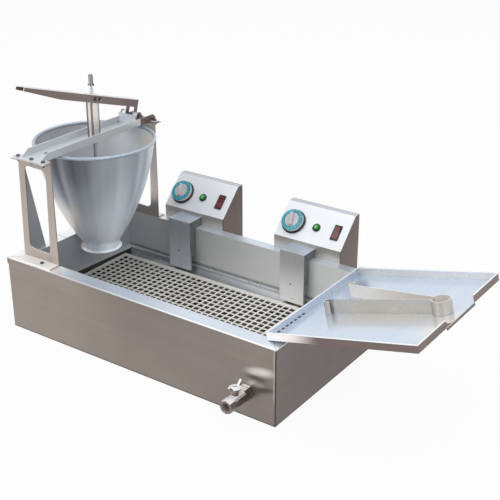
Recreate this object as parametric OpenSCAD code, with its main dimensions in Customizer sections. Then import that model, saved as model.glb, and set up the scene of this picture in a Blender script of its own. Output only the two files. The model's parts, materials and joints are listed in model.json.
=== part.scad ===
// Tabletop donut fryer: a sheet-metal oil bath with two lift-in heating heads,
// a hand-levered dough hopper on a portal frame, a drain valve and a hook-on draining tray.
// Origin: middle of the casing's underside. +X to the right, -Y to the front, +Z up. Millimetres.

/* [Casing and bath] */
// Length of the casing, left to right
case_l = 720; // [640:1:900]
// Depth of the casing, front to rear
case_w = 398; // [370:1:480]
// Height of the rim above the table
case_h = 171; // [150:1:220]
// Thickness of the casing and bath sheet
sheet_t = 1.5; // [1:0.1:2]
// Width of the rim along the front
rim_front = 35; // [32:1:50]
// Width of the rim along the rear
rim_rear = 25; // [24:1:40]
// Width of the rim at the left end
rim_left = 30; // [24:1:50]
// Width of the rim at the right end
rim_right = 33; // [28:1:50]
// Overhang of the rim past the left end
rim_overhang = 3; // [2.5:0.1:6]
// Height of the folded lip at the left end
rim_lip_h = 14; // [8:1:25]
// Height of the bath floor above the table
bath_floor_z = 47.5; // [40:0.5:60]
// Radius of the bends along the bath floor
bath_bend_r = 36; // [28:1:45]

/* [Grate] */
// Height of the grate's underside above the bath floor
grate_lift = 14.5; // [13:0.5:20]
// Thickness of the grate
grate_t = 2; // [1.5:0.1:3]
// Distance between neighbouring holes
hole_pitch = 16.4; // [14:0.1:24]
// Side of a square hole
hole_side = 12.6; // [6:0.1:13]
// Gap behind the grate, where the heads reach down
grate_back_gap = 28; // [26:1:40]

/* [Portal frame] */
// Width of the uprights
upright_w = 105; // [90:1:140]
// Lean of the upright's left edge over its height
upright_lean = 8; // [0:0.5:12]
// Thickness of the uprights and of the bridge
frame_t = 2.5; // [2:0.1:4]
// Width of the legs beside the upright's window
upright_leg = 21; // [15:1:30]
// Corner radius of the window
window_r = 12; // [6:1:20]
// Length of the foot flange of the front upright
front_flange = 27; // [20:1:30]
// Length of the head flange of the front upright
head_flange = 21; // [18:1:30]
// Length of the foot and head flanges of the rear upright
rear_flange = 20; // [16:1:21]
// Length of the gusset along the rim
gusset_l = 60; // [40:1:80]
// Length of the gusset at its top
gusset_top_l = 7; // [4:1:20]
// Width of the bridge channel
bridge_w = 58; // [50:1:80]
// Height of the bridge's side flanges above its web
bridge_flange_h = 14.5; // [10:0.5:14.5]

/* [Hopper] */
// Distance of the hopper's axis from the left end
hopper_inset = 82; // [70:1:120]
// Distance of the hopper's axis behind the middle
hopper_shift = 16; // [0:1:20]
// Height of the hopper
hopper_h = 261; // [200:1:320]
// Gap between the grate and the hopper's lip
hopper_gap = 80; // [60:1:110]
// Outer radius of the hopper's wall at the rim
hopper_rim_r = 135; // [110:1:150]
// Outer radius of the hopper's neck
hopper_neck_r = 43.5; // [38:0.5:55]
// Outward bulge of the hopper's side
hopper_bulge = 15; // [2:0.5:24]
// Thickness of the hopper's wall
hopper_t = 1.5; // [1:0.1:2.5]

/* [Lever and plunger] */
// Angle of the lever at rest, above level
lever_tilt = 17.2; // [10:0.1:20]
// Distance from the plunger's axis to the lever's pivot
lever_arm = 125; // [110:1:135]
// Length of the lever's sides in front of the pivot
lever_reach = 357; // [300:1:400]
// Outer width of the lever
lever_w = 25; // [24.5:0.1:30]
// Height of the lever's sides
lever_h = 19; // [17:0.5:24]
// Height of the pivot above the bridge's web
pivot_h = 20.5; // [19:0.5:36]
// Side of the square plunger tube
tube_side = 20; // [16:0.5:20]
// Radius of the plunger rod
rod_r = 4; // [3.5:0.1:5]
// Inner radius of the dosing cylinder
dose_r = 39.2; // [30:0.1:40]
// Height of the dosing cylinder
dose_h = 26; // [20:1:50]

/* [Control heads] */
// Width of a control head
head_w = 175; // [160:1:200]
// Middle of the left head
head_left_x = -144; // [-150:1:-130]
// Middle of the right head
head_right_x = 176; // [165:1:185]
// Height of a head's front face above the rim
head_front_h = 28; // [24:1:40]
// Slope of the control panel
panel_slope = 45.6; // [35:0.1:55]
// Length of the control panel up the slope
panel_l = 89; // [80:1:110]
// Depth of the flat top behind the panel
head_top_d = 16; // [10:1:30]
// Reach of a head below the rim, behind the casing
head_drop = 60; // [40:1:90]
// Width of the neck that carries the heating element
neck_w = 64; // [60:1:70]
// Diameter of the heating element's tube
heater_d = 8.5; // [6.5:0.1:9]

/* [Drain valve] */
// Distance of the drain from the right end
drain_inset = 66; // [50:1:100]
// Height of the drain above the bath floor
drain_lift = 11; // [11:0.5:16]
// Outer radius of the drain nipple
nipple_r = 10.5; // [9:0.1:11]
// Length of the valve from wall nut to outlet
valve_l = 63; // [62:1:90]

/* [Draining tray] */
// Length of the tray's floor
tray_l = 320; // [240:1:360]
// Width of the tray
tray_w = 350; // [300:1:356]
// Height of the tray's rims
tray_rim_h = 16; // [10:1:25]
// Thickness of the tray sheet
tray_t = 1.2; // [1:0.1:2]
// Rise of the tray towards its free end
tray_tilt = 13.4; // [8:0.1:18]
// Height of the tongs' strip
tongs_h = 28; // [15:1:35]

/* [Hidden] */
$fn = 64;
// Facets of very large circles
arc_fn = 720;
// Overrun of every cut past the face it opens
over = 1;
// Gap between pieces that rest near each other
seat_gap = 0.3;
// Radial play of a pin or shaft in its hole
fit_gap = 0.05;
// Play of a part that slides in a guide
slide_gap = 0.4;

// Bath: inner faces of its walls
bath_x0 = -case_l / 2 + rim_left;
bath_x1 = case_l / 2 - rim_right;
bath_y0 = -case_w / 2 + rim_front;
bath_y1 = case_w / 2 - rim_rear;
bath_l = bath_x1 - bath_x0;
bath_w = bath_y1 - bath_y0;
bath_d = case_h - bath_floor_z;

// Grate: it sits where the bends of the floor close in on it
grate_z = bath_floor_z + grate_lift;
bend_inset = bath_bend_r - sqrt(pow(bath_bend_r, 2) - pow(bath_bend_r - grate_lift, 2));
grate_inset = bend_inset + seat_gap;
grate_size = [bath_l - 2 * grate_inset, bath_w - grate_inset - grate_back_gap];
grate_margin = 9;
hole_count = [for (s = grate_size) floor((s - 2 * grate_margin - hole_side) / hole_pitch) + 1];

// Hopper
hopper_x = -case_l / 2 + hopper_inset;
hopper_y = hopper_shift;
lip_z = grate_z + grate_t + hopper_gap;
rim_z = lip_z + hopper_h;
rim_roll_r = 4;
rim_clear = 1;
neck_h = 16;
lip_flare = 4.5;
lip_h = 4;
ear_w = 40;
ear_l = 20;

// Bridge and uprights
web_z = rim_z + rim_roll_r + rim_clear;
web_top = web_z + frame_t;
upright_h = web_z - case_h;
upright_shift = -8.5;
upright_x = hopper_x + upright_shift;
window_shift = 1;
window_foot = 23;
window_head = 21;
lean_angle = atan(upright_lean / upright_h);
front_plate_y = bath_y0 - frame_t;
rear_plate_y = bath_y1 + frame_t;
bridge_y0 = front_plate_y - head_flange;
bridge_y1 = rear_plate_y + rear_flange;
ear_taper = 7;
ear_depth = 23;
flange_start = 7;
flange_chamfer = 22;
flange_tail = 1;
flange_tail_h = 6;
flange_tail_chamfer = 9;
bolt_r = 2.5;
bolt_head_r = 4.5;
bolt_head_h = 3;
bolt_nut_h = 4;
bolt_tail = 2;
ear_bolt_inset = 13;
ear_bolt_clear = 0.8;
foot_bolt_shift = 15;
foot_bolt_x = upright_x + foot_bolt_shift;
front_bolt_y = front_plate_y - front_flange / 2;
rear_bolt_y = rear_plate_y + rear_flange / 2;
head_bolt_y = front_plate_y - head_flange / 2;
hopper_bolt_d = hopper_rim_r + rim_roll_r + ear_l / 2;

// Lever, in its own frame: u forwards along the lever, v square to it, pivot at the origin
pivot_y = hopper_y + lever_arm;
pivot_z = web_top + pivot_h;
lever_t = 1.5;
lever_top = 37.5;
lever_back = 6;
lever_tip_h = 9.4;
taper_l = 108;
tab_l = 17;
tab_hole_r = 2.5;
pivot_eye_r = 9;
pivot_pin_r = 4;
link_v = 27.5;
link_lift = 0.4;
link_r = 3;
link_play = 1;
link_head_r = 4.8;
link_head_h = 4;
link_depth = 5;
link_near = lever_arm;
link_far = (lever_arm + link_v * sin(lever_tilt)) / cos(lever_tilt);
rod_near = lever_arm;
rod_far = (lever_arm + lever_top * sin(lever_tilt)) / cos(lever_tilt);
rod_slot_play = 1.5;
link_z = pivot_z + lever_arm * tan(lever_tilt) + link_v / cos(lever_tilt);
stroke = lever_arm * tan(lever_tilt) + link_v * (1 / cos(lever_tilt) - 1);

// Plunger
tube_t = 1.5;
tube_nose_r = 7;
tube_nose_h = 12;
tube_plug_h = 20;
tube_below = 1;
tube_z0 = web_z - tube_below;
disc_h = 6;
disc_cone_h = 8;
dose_t = 2.4;
dose_lift = 2;
dose_z = lip_z + dose_lift;
disc_z = dose_z + dose_lift;
dose_top = dose_z + dose_h;
piston_h = 12;
piston_entry = 8;
piston_z = dose_top + stroke - piston_entry;
groove_d = 2;
groove_h = 4;
hub_r = 9;
hub_h = 12;
nut_lift = 29;
nut_z = link_z + nut_lift;
nut_r = 5.2;
nut_h = 24;
nut_flange_r = 7.5;
nut_flange_h = 3;
thread_r = 3;
thread_start = 6;
thread_z = nut_z - thread_start;
knurl_count = 16;
knurl_r = 0.5;

// Pivot bracket
bracket_clear = 0.5;
bracket_w = bridge_w - 2 * frame_t - 2 * bracket_clear;
bracket_front = 13;
bracket_back = 12;
bracket_foot = 14;
bracket_wall_h = 24;
bracket_bolt_x = 15;
bracket_bolt_y = pivot_y - bracket_front + bracket_foot / 2 + frame_t / 2;
spacer_r = 7;
pin_head_r = 5;
pin_head_h = 3;

// Control heads: side outline in y and z
head_x = [head_left_x, head_right_x];
head_y = case_w / 2 + seat_gap;
head_z0 = case_h - head_drop;
panel_z = case_h + head_front_h;
head_z1 = panel_z + panel_l * sin(panel_slope);
slope_y = head_y + panel_l * cos(panel_slope);
head_y1 = slope_y + head_top_d;
cover_lip = 10;
neck_shift = -8;
neck_gap = 22;
neck_rise = 20;
neck_lift = 2;
neck_drop = 70;
neck_y = bath_y1 - neck_gap;
neck_top = case_h + neck_rise;
neck_z0 = grate_z + grate_t + neck_lift;
neck_step_z = case_h - neck_drop;
neck_side_d = 19;
neck_foot_d = 6;
neck_hole_inset = 4;
knob_shift = -52;
lamp_shift = 8;
switch_shift = 59.5;
panel_row = 40;

// Knob, lamp and switch, measured out from the panel
bezel_r = 29;
bezel_h = 4;
knob_r = 26;
knob_h = 8;
ring_w = 8;
ring_h = 2;
knob_hub_r = 17.5;
knob_hub_h = 2;
grip_w = 10;
grip_h = 10;
grip_turn = 105;
shaft_r = 3;
shaft_l = 12;
shaft_clear = 1;
thermo_side = 34;
thermo_h = 30;
lamp_r = 8;
lamp_flange_r = 9.6;
lamp_flange_h = 2;
lamp_body_r = 6.4;
lamp_body_h = 28;
switch_w = 19;
switch_l = 37;
switch_h = 2;
switch_wall = 2;
switch_corner_r = 1.5;
switch_body_h = 24;
rocker_crown = 4.5;
rocker_dip = 2.5;
rocker_depth = 7;
rocker_tilt = 8;
pocket_h = 10;

// Heating element and sensor
heat_lift = 2.5;
cold_drop = 3;
cold_reach = 16;
heat_z = bath_floor_z + heater_d / 2 + heat_lift;
elbow_r = 12;
turn_r = 14;
leg_x = 15;
leg_y = neck_y + sheet_t + heater_d / 2 + seat_gap;
cold_z = neck_top - sheet_t - heater_d / 2 - cold_drop;
cold_y = head_y + cold_reach;
heat_half = 120;
heat_back_gap = 66;
heat_front_gap = 34;
heat_back = bath_y1 - heat_back_gap;
heat_front = bath_y0 + heat_front_gap;
bulb_r = 3.2;
bulb_l = 70;
capillary_r = 1.6;
bulb_lift = 12;
bulb_z = heat_z + bulb_lift;
bulb_y = neck_y + sheet_t + bulb_r + seat_gap;

// Terminal block and cable gland
block_size = [50, 18, 16];
block_post_r = 3;
gland_shift = 50;
gland_lift = 30;
gland_z = head_z0 + gland_lift;
gland_r = 8;
gland_bore_r = 5;
gland_hex_r = 11;
gland_shoulder = 1;
gland_hex_h = 7;
gland_dome_h = 12;
gland_tip_r = 7;
gland_in = 9;

// Drain valve, measured forwards from the casing's front
drain_x = case_l / 2 - drain_inset;
drain_z = bath_floor_z + drain_lift;
front_y = -case_w / 2;
nipple_bore_r = 7.5;
locknut_r = 17;
locknut_h = 8;
socket_l = 12;
inlet_hex_r = 16;
outlet_hex_r = 14.5;
outlet_hex_l = 18;
outlet_bore_r = 9.3;
outlet_bore_l = 15;
barrel_r = 14;
ball_r = 11;
ball_bore_r = 7;
valve_y1 = front_y - locknut_h;
valve_y0 = valve_y1 - valve_l;
ball_seat = 9;
ball_y = valve_y1 - socket_l - ball_r - ball_seat;
boss_r = 7;
boss_top = 22;
stem_r = 4;
stem_top = 29;
handle_hub_r = 12;
handle_t = 2.5;
wing_l = 15;
wing_w = 5;
wing_rise = 42;

// Tray
tray_lap = 1;
tray_lift = 1;
tray_x = bath_x1 - tray_lap;
tray_z = case_h + tray_lift;
tray_shift = -2;
tray_slot_w = 2;
tray_slot_l = 112;
tray_slot_gap = 64;
tray_hem = 5;
notch_l = 122;
notch_shift = -5;
notch_lip_r = 3.5;
notch_lip_h = 1.5;
notch_ramp = 24;
notch_ramp_shares = [[0, 0.85], [0.3, 0.4], [1, 0]];
hook_w = 13;
hook_drop = 22;
hook_inset = 10;
support_w = 120;
support_drop = 46;
support_l = 42;
support_t = 2;
bar_inset = 18;
bar_foot = 13;
bar_margin = 17;

// Tongs, laid out on the tray's floor
loop_r = 19;
strip_t = 1.5;
loop_s = 282;
loop_open = 20;
tongs_shift = 1;
tongs_turn = -1.5;
leg_end_s = 57;
leg_end_y = 41;
curl_r = 6;
leg_start = [loop_s - loop_r * cos(loop_open), loop_r * sin(loop_open)];
leg_run = [leg_start[0] - leg_end_s, leg_end_y - leg_start[1]];
leg_l = norm(leg_run);
leg_turn = atan2(leg_run[1], leg_run[0]);

// Block between two opposite corners
module box_at(lo, hi) {
    translate(lo)
        cube(hi - lo);
}

// Round bars along each axis
module bar_x(r, x0, x1) {
    translate([x0, 0, 0])
        rotate([0, 90, 0])
            cylinder(r = r, h = x1 - x0);
}

module bar_y(r, y0, y1) {
    translate([0, y1, 0])
        rotate([90, 0, 0])
            cylinder(r = r, h = y1 - y0);
}

module bar_z(r, z0, z1) {
    translate([0, 0, z0])
        cylinder(r = r, h = z1 - z0);
}

// Outline in y and z, carried along x
module along_x(x0, x1) {
    translate([x0, 0, 0])
        rotate([90, 0, 90])
            linear_extrude(x1 - x0)
                children();
}

// Outline in x and z, carried along y
module along_y(y0, y1) {
    translate([0, y1, 0])
        rotate([90, 0, 0])
            linear_extrude(y1 - y0)
                children();
}

// Rectangle with round corners, about its middle
module round_square(w, h, r) {
    square([w - 2 * r, h], center = true);
    square([w, h - 2 * r], center = true);
    for (sx = [-1, 1], sy = [-1, 1])
        translate([sx * (w / 2 - r), sy * (h / 2 - r)])
            circle(r);
}

// Slot with round ends between two places on a line
module slot(x0, x1, r) {
    translate([x0, -r])
        square([x1 - x0, 2 * r]);
    for (x = [x0, x1])
        translate([x, 0])
            circle(r);
}

// Upper half of the bath's section: straight walls above a floor with round bends
module tub_outline(lo, hi, floor, top, r) {
    translate([lo, floor + r])
        square([hi - lo, top - floor - r]);
    translate([lo + r, floor])
        square([hi - lo - 2 * r, 2 * r]);
    for (x = [lo + r, hi - r])
        translate([x, floor + r])
            circle(r);
}

// Space of the bath, grown outwards by a sheet
module bath_space(grow, top) {
    intersection() {
        along_x(bath_x0 - grow, bath_x1 + grow)
            tub_outline(bath_y0 - grow, bath_y1 + grow, bath_floor_z - grow, top, bath_bend_r + grow);
        along_y(bath_y0 - grow, bath_y1 + grow)
            tub_outline(bath_x0 - grow, bath_x1 + grow, bath_floor_z - grow, top, bath_bend_r + grow);
    }
}

module outer_casing() {
    color("#7d726c")
        difference() {
            box_at([-case_l / 2, -case_w / 2, 0], [case_l / 2, case_w / 2, case_h - sheet_t]);
            box_at([-case_l / 2 + sheet_t, -case_w / 2 + sheet_t, sheet_t],
                   [case_l / 2 - sheet_t, case_w / 2 - sheet_t, case_h]);
            translate([drain_x, 0, drain_z])
                bar_y(nipple_r + seat_gap, front_y - over, front_y + sheet_t + over);
        }
}

module bath_tank() {
    lip_x = -case_l / 2 - rim_overhang;
    color("#b9bec4")
        difference() {
            union() {
                box_at([lip_x, -case_w / 2, case_h - sheet_t], [case_l / 2, case_w / 2, case_h]);
                box_at([lip_x, -case_w / 2, case_h - rim_lip_h], [lip_x + sheet_t, case_w / 2, case_h]);
                bath_space(sheet_t, case_h);
            }
            bath_space(0, case_h + over);
            translate([drain_x, 0, drain_z])
                bar_y(nipple_r + fit_gap, bath_y0 - 2 * sheet_t, bath_y0 + bath_bend_r);
            for (y = [front_bolt_y, rear_bolt_y])
                translate([foot_bolt_x, y, 0])
                    bar_z(bolt_r + fit_gap, case_h - sheet_t - over, case_h + over);
        }
}

module perforated_grate() {
    span = [for (n = hole_count) (n - 1) * hole_pitch];
    first = (grate_size - span) / 2;
    color("#c9c6bd")
        translate([bath_x0 + grate_inset, bath_y0 + grate_inset, grate_z])
            linear_extrude(grate_t)
                difference() {
                    square(grate_size);
                    for (i = [0 : hole_count[0] - 1], j = [0 : hole_count[1] - 1])
                        translate(first + [i, j] * hole_pitch)
                            square(hole_side, center = true);
                }
}

// Upright with its window, foot and head flanges and gusset; its inner face lies at y = 0
module upright(foot, head) {
    x0 = upright_x - upright_w / 2;
    x1 = upright_x + upright_w / 2;
    window_h = upright_h - window_foot - window_head;
    difference() {
        union() {
            along_y(-frame_t, 0)
                difference() {
                    polygon([[x0, case_h], [x1, case_h], [x1, web_z], [x0 + upright_lean, web_z]]);
                    translate([upright_x + window_shift, case_h + window_foot + window_h / 2])
                        rotate(-lean_angle)
                            round_square(upright_w - 2 * upright_leg, window_h, window_r);
                }
            box_at([x0, -frame_t - foot, case_h], [x1, 0, case_h + frame_t]);
            box_at([x0 + upright_lean, -frame_t - head, web_z - frame_t], [x1, 0, web_z]);
            translate([x0, 0, case_h])
                gusset();
        }
        translate([foot_bolt_x, -frame_t - foot / 2, 0])
            bar_z(bolt_r + fit_gap, case_h - over, case_h + frame_t + over);
        for (x = bridge_bolt_x())
            translate([x, -frame_t - head / 2, 0])
                bar_z(bolt_r + fit_gap, web_z - frame_t - over, web_z + over);
    }
}

// Gusset that leans with the upright's left edge and narrows to the top, cut level at both ends
module gusset() {
    top = upright_h - frame_t;
    intersection() {
        rotate([0, lean_angle, 0])
            along_x(0, frame_t)
                polygon([[0, -over], [gusset_l, -over], [gusset_l, 0], [gusset_top_l, top],
                         [gusset_top_l, top + over], [0, top + over]]);
        box_at([0, 0, 0], [upright_lean + 2 * frame_t, gusset_l, top]);
    }
}

// Places of the three bolts at each end of the bridge
function bridge_bolt_x() =
    [upright_x - upright_w / 2 + upright_lean + ear_bolt_inset, hopper_x,
     hopper_x + bridge_w / 2 + bolt_head_r + ear_bolt_clear];

module front_upright() {
    color("#c3a99d")
        translate([0, bath_y0, 0])
            upright(front_flange, head_flange);
}

module rear_upright() {
    color("#b09a90")
        translate([0, bath_y1, 0])
            mirror([0, 1, 0])
                upright(rear_flange, rear_flange);
}

// End of the bridge's web: it widens to the upright behind a tapered nose at y = 0
module bridge_end() {
    x0 = upright_x - upright_w / 2 + upright_lean;
    x1 = upright_x + upright_w / 2;
    polygon([[hopper_x - bridge_w / 2, 0], [x0, ear_taper], [x0, ear_depth],
             [x1, ear_depth], [x1, ear_taper], [hopper_x + bridge_w / 2, 0]]);
}

module bridge_channel() {
    x0 = hopper_x - bridge_w / 2;
    x1 = hopper_x + bridge_w / 2;
    f0 = bridge_y0 + flange_start;
    f1 = bridge_y1 - flange_tail;
    top = web_top + bridge_flange_h;
    color("#c6ccd2")
        difference() {
            union() {
                box_at([x0, bridge_y0, web_z], [x1, bridge_y1, web_top]);
                translate([0, bridge_y0, web_z])
                    linear_extrude(frame_t)
                        bridge_end();
                translate([0, bridge_y1, web_z])
                    mirror([0, 1, 0])
                        linear_extrude(frame_t)
                            bridge_end();
                for (x = [x0, x1 - frame_t])
                    along_x(x, x + frame_t)
                        polygon([[f0, web_z], [f1, web_z], [f1, web_top + flange_tail_h],
                                 [f1 - flange_tail_chamfer, top], [f0 + flange_chamfer, top], [f0, web_top]]);
            }
            guide = tube_side / 2 + slide_gap;
            box_at([hopper_x - guide, hopper_y - guide, web_z - over],
                   [hopper_x + guide, hopper_y + guide, web_top + over]);
            for (x = bridge_bolt_x(), y = [head_bolt_y, rear_bolt_y])
                translate([x, y, 0])
                    bar_z(bolt_r + fit_gap, web_z - over, web_top + over);
            for (s = [-1, 1]) {
                translate([hopper_x, hopper_y + s * hopper_bolt_d, 0])
                    bar_z(bolt_r + fit_gap, web_z - over, web_top + over);
                translate([hopper_x + s * bracket_bolt_x, bracket_bolt_y, 0])
                    bar_z(bolt_r + fit_gap, web_z - over, web_top + over);
            }
        }
}

// Hexagon bolt through a stack of sheets, with its nut below
module bolt(top, grip) {
    translate([0, 0, top])
        cylinder(r = bolt_head_r, h = bolt_head_h, $fn = 6);
    bar_z(bolt_r, top - grip - bolt_nut_h - bolt_tail, top);
    translate([0, 0, top - grip - bolt_nut_h])
        cylinder(r = bolt_head_r, h = bolt_nut_h, $fn = 6);
}

module frame_bolts() {
    color("#8f949a") {
        for (y = [front_bolt_y, rear_bolt_y])
            translate([foot_bolt_x, y, 0])
                bolt(case_h + frame_t, frame_t + sheet_t);
        for (x = bridge_bolt_x(), y = [head_bolt_y, rear_bolt_y])
            translate([x, y, 0])
                bolt(web_top, 2 * frame_t);
        for (s = [-1, 1]) {
            translate([hopper_x, hopper_y + s * hopper_bolt_d, 0])
                bolt(web_top, 2 * frame_t);
            translate([hopper_x + s * bracket_bolt_x, bracket_bolt_y, 0])
                bolt(web_top + frame_t, 2 * frame_t);
        }
    }
}

// Side of the hopper: a band between two large arcs, from the neck up to the rim
module hopper_side() {
    foot = [hopper_neck_r, lip_z + neck_h];
    head = [hopper_rim_r, rim_z];
    chord = norm(head - foot);
    out = [head[1] - foot[1], foot[0] - head[0]] / chord;
    arc_r = (pow(chord, 2) / 4 + pow(hopper_bulge, 2)) / (2 * hopper_bulge);
    middle = (foot + head) / 2 - out * (arc_r - hopper_bulge);
    intersection() {
        translate(middle)
            difference() {
                circle(arc_r, $fn = arc_fn);
                circle(arc_r - hopper_t, $fn = arc_fn);
            }
        translate([0, foot[1]])
            square([hopper_rim_r + hopper_bulge, head[1] - foot[1]]);
    }
}

module hopper() {
    neck_in = hopper_neck_r - hopper_t;
    lip_r = hopper_neck_r + lip_flare;
    color("#aeb6be")
        translate([hopper_x, hopper_y, 0])
            difference() {
                union() {
                    rotate_extrude() {
                        hopper_side();
                        translate([neck_in, lip_z])
                            square([hopper_t, neck_h + hopper_t]);
                        polygon([[neck_in, lip_z], [lip_r, lip_z],
                                 [lip_r, lip_z + hopper_t], [hopper_neck_r, lip_z + lip_h]]);
                        translate([hopper_rim_r, rim_z])
                            circle(rim_roll_r);
                    }
                    for (s = [-1, 1])
                        translate([-ear_w / 2, s * (hopper_rim_r + ear_l / 2 + rim_roll_r / 2) - ear_l / 2,
                                   web_z - frame_t])
                            cube([ear_w, ear_l, frame_t]);
                }
                for (s = [-1, 1])
                    translate([0, s * hopper_bolt_d, 0])
                        bar_z(bolt_r + fit_gap, web_z - frame_t - over, web_z + over);
            }
}

module dosing_cylinder() {
    out = hopper_neck_r - hopper_t - fit_gap;
    collar = neck_h - 2 * dose_lift;
    color("#d5d8dc")
        translate([hopper_x, hopper_y, dose_z])
            rotate_extrude()
                polygon([[dose_r, 0], [out, 0], [out, collar], [dose_r + dose_t, collar],
                         [dose_r + dose_t, dose_h], [dose_r, dose_h]]);
}

module plunger_tube() {
    half = tube_side / 2;
    shoulder = link_z - tube_nose_h;
    color("#b4a89f")
        translate([hopper_x, hopper_y, 0])
            difference() {
                union() {
                    box_at([-half, -half, tube_z0], [half, half, shoulder]);
                    along_x(-half, half) {
                        polygon([[-half, shoulder], [half, shoulder],
                                 [tube_nose_r, link_z], [-tube_nose_r, link_z]]);
                        translate([0, link_z])
                            circle(tube_nose_r);
                    }
                }
                box_at([-half + tube_t, -half + tube_t, tube_z0 - over],
                       [half - tube_t, half - tube_t, link_z - tube_plug_h]);
                bar_z(rod_r + fit_gap, tube_z0, link_z + tube_nose_r + over);
                translate([0, 0, link_z])
                    for (s = [0, 1])
                        mirror([s, 0, 0])
                            bar_x(link_r + fit_gap, half - link_depth, half + over);
            }
}

module plunger_rod() {
    color("#cfd3d7")
        translate([hopper_x, hopper_y, 0]) {
            bar_z(rod_r, disc_z, thread_z);
            bar_z(thread_r, thread_z, nut_z + nut_h - nut_flange_h);
        }
}

// Round plunger on the rod, with a ring groove and a hub above it
module plunger_ring(z, h, groove) {
    r = dose_r - slide_gap;
    translate([hopper_x, hopper_y, z])
        rotate_extrude()
            difference() {
                polygon([[rod_r + fit_gap, 0], [r, 0], [r, h], [hub_r, h + hub_h / 2],
                         [hub_r, h + hub_h], [rod_r + fit_gap, h + hub_h]]);
                translate([r - groove, (h - groove_h) / 2])
                    square([groove + over, groove_h]);
            }
}

module piston() {
    color("#e4e2dc")
        plunger_ring(piston_z, piston_h, groove_d);
}

module forming_disc() {
    r = dose_r - slide_gap;
    color("#d9dcdf")
        translate([hopper_x, hopper_y, disc_z])
            rotate_extrude()
                polygon([[rod_r + fit_gap, 0], [r, 0], [r, disc_h], [hub_r, disc_h + disc_cone_h],
                         [rod_r + fit_gap, disc_h + disc_cone_h]]);
}

module dose_nut() {
    color("#6f7479")
        translate([hopper_x, hopper_y, nut_z])
            difference() {
                union() {
                    bar_z(nut_flange_r, 0, nut_flange_h);
                    bar_z(nut_r, 0, nut_h);
                }
                bar_z(thread_r + fit_gap, -over, nut_h - nut_flange_h + seat_gap);
                for (i = [1 : knurl_count])
                    rotate(i * 360 / knurl_count)
                        translate([nut_r, 0, 0])
                            bar_z(knurl_r, nut_flange_h, nut_h + over);
            }
}

// Lever frame: x runs forwards along the lever, y upwards, both in the lever's own plane
module lever_plane(x0, x1) {
    translate([hopper_x, pivot_y, pivot_z])
        rotate([-lever_tilt, 0, 0])
            translate([x0, 0, 0])
                rotate([90, 0, 90])
                    linear_extrude(x1 - x0)
                        mirror([1, 0, 0])
                            children();
}

module lever_side_outline() {
    low = lever_top - lever_h;
    difference() {
        union() {
            polygon([[-lever_back, lever_top], [-lever_back, low], [lever_reach - taper_l, low],
                     [lever_reach, lever_top - lever_tip_h], [lever_reach, lever_top]]);
            translate([-pivot_eye_r + lever_back / 2, 0])
                square([2 * pivot_eye_r - lever_back, low + lever_back]);
            circle(pivot_eye_r - lever_back / 2);
        }
        circle(pivot_pin_r + fit_gap);
        translate([0, link_v + link_lift])
            slot(link_near, link_far, link_r + link_play);
    }
}

module press_lever() {
    half = lever_w / 2;
    color("#8a7a74")
        difference() {
            union() {
                lever_plane(-half, -half + lever_t)
                    lever_side_outline();
                lever_plane(half - lever_t, half)
                    lever_side_outline();
                lever_plane(-half, half)
                    translate([-lever_back, lever_top - lever_t])
                        square([lever_reach + lever_back + tab_l, lever_t]);
            }
            translate([hopper_x, pivot_y, pivot_z])
                rotate([-lever_tilt, 0, 0]) {
                    translate([0, -lever_reach - tab_l / 2, 0])
                        bar_z(tab_hole_r, 0, lever_top + over);
                    translate([0, 0, lever_top - lever_t - over])
                        rotate([0, 0, -90])
                            linear_extrude(lever_t + 2 * over)
                                slot(rod_near, rod_far, rod_r + rod_slot_play);
                }
        }
}

module link_bolts() {
    half = lever_w / 2 + seat_gap;
    color("#c9ccd0")
        translate([hopper_x, hopper_y, link_z])
            for (s = [0, 1])
                mirror([s, 0, 0]) {
                    bar_x(link_r, tube_side / 2 - link_depth + seat_gap, half + link_head_h);
                    bar_x(link_head_r, half, half + link_head_h);
                }
}

module pivot_bracket() {
    half = bracket_w / 2;
    y0 = pivot_y - bracket_front;
    y1 = pivot_y + bracket_back;
    color("#d3d7dc")
        difference() {
            union() {
                for (x = [hopper_x - half, hopper_x + half - frame_t])
                    along_x(x, x + frame_t) {
                        translate([y0, web_top])
                            square([y1 - y0, pivot_h]);
                        translate([pivot_y, pivot_z])
                            circle(pivot_eye_r);
                    }
                box_at([hopper_x - half, y0, web_top],
                       [hopper_x + half, y0 + frame_t, web_top + bracket_wall_h]);
                box_at([hopper_x - half, y0, web_top],
                       [hopper_x + half, y0 + bracket_foot, web_top + frame_t]);
            }
            translate([hopper_x, pivot_y, pivot_z])
                bar_x(pivot_pin_r + fit_gap, -half - over, half + over);
            for (s = [-1, 1])
                translate([hopper_x + s * bracket_bolt_x, bracket_bolt_y, 0])
                    bar_z(bolt_r + fit_gap, web_top - over, web_top + frame_t + over);
        }
}

module pivot_pin() {
    half = bracket_w / 2 + seat_gap;
    color("#9da2a8")
        translate([hopper_x, pivot_y, pivot_z])
            for (s = [0, 1])
                mirror([s, 0, 0]) {
                    bar_x(pivot_pin_r, 0, half + pin_head_h);
                    bar_x(pin_head_r, half, half + pin_head_h);
                }
}

module pivot_spacers() {
    x0 = lever_w / 2 + seat_gap;
    x1 = bracket_w / 2 - frame_t - seat_gap;
    color("#c0c4c8")
        translate([hopper_x, pivot_y, pivot_z])
            for (s = [0, 1])
                mirror([s, 0, 0])
                    difference() {
                        bar_x(spacer_r, x0, x1);
                        bar_x(pivot_pin_r + fit_gap, x0 - over, x1 + over);
                    }
}

// Side outline of a control head, drawn in by a wall
module head_outline(t) {
    y0 = head_y + t;
    z1 = head_z1 - t;
    low = panel_z - t * cos(panel_slope) + (t - t * sin(panel_slope)) * tan(panel_slope);
    high = head_y + t * sin(panel_slope) + (z1 - panel_z + t * cos(panel_slope)) / tan(panel_slope);
    back = head_y1 + (t > 0 ? over : 0);
    polygon([[y0, head_z0 + t], [y0, low], [high, z1], [back, z1], [back, head_z0 + t]]);
}

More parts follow.
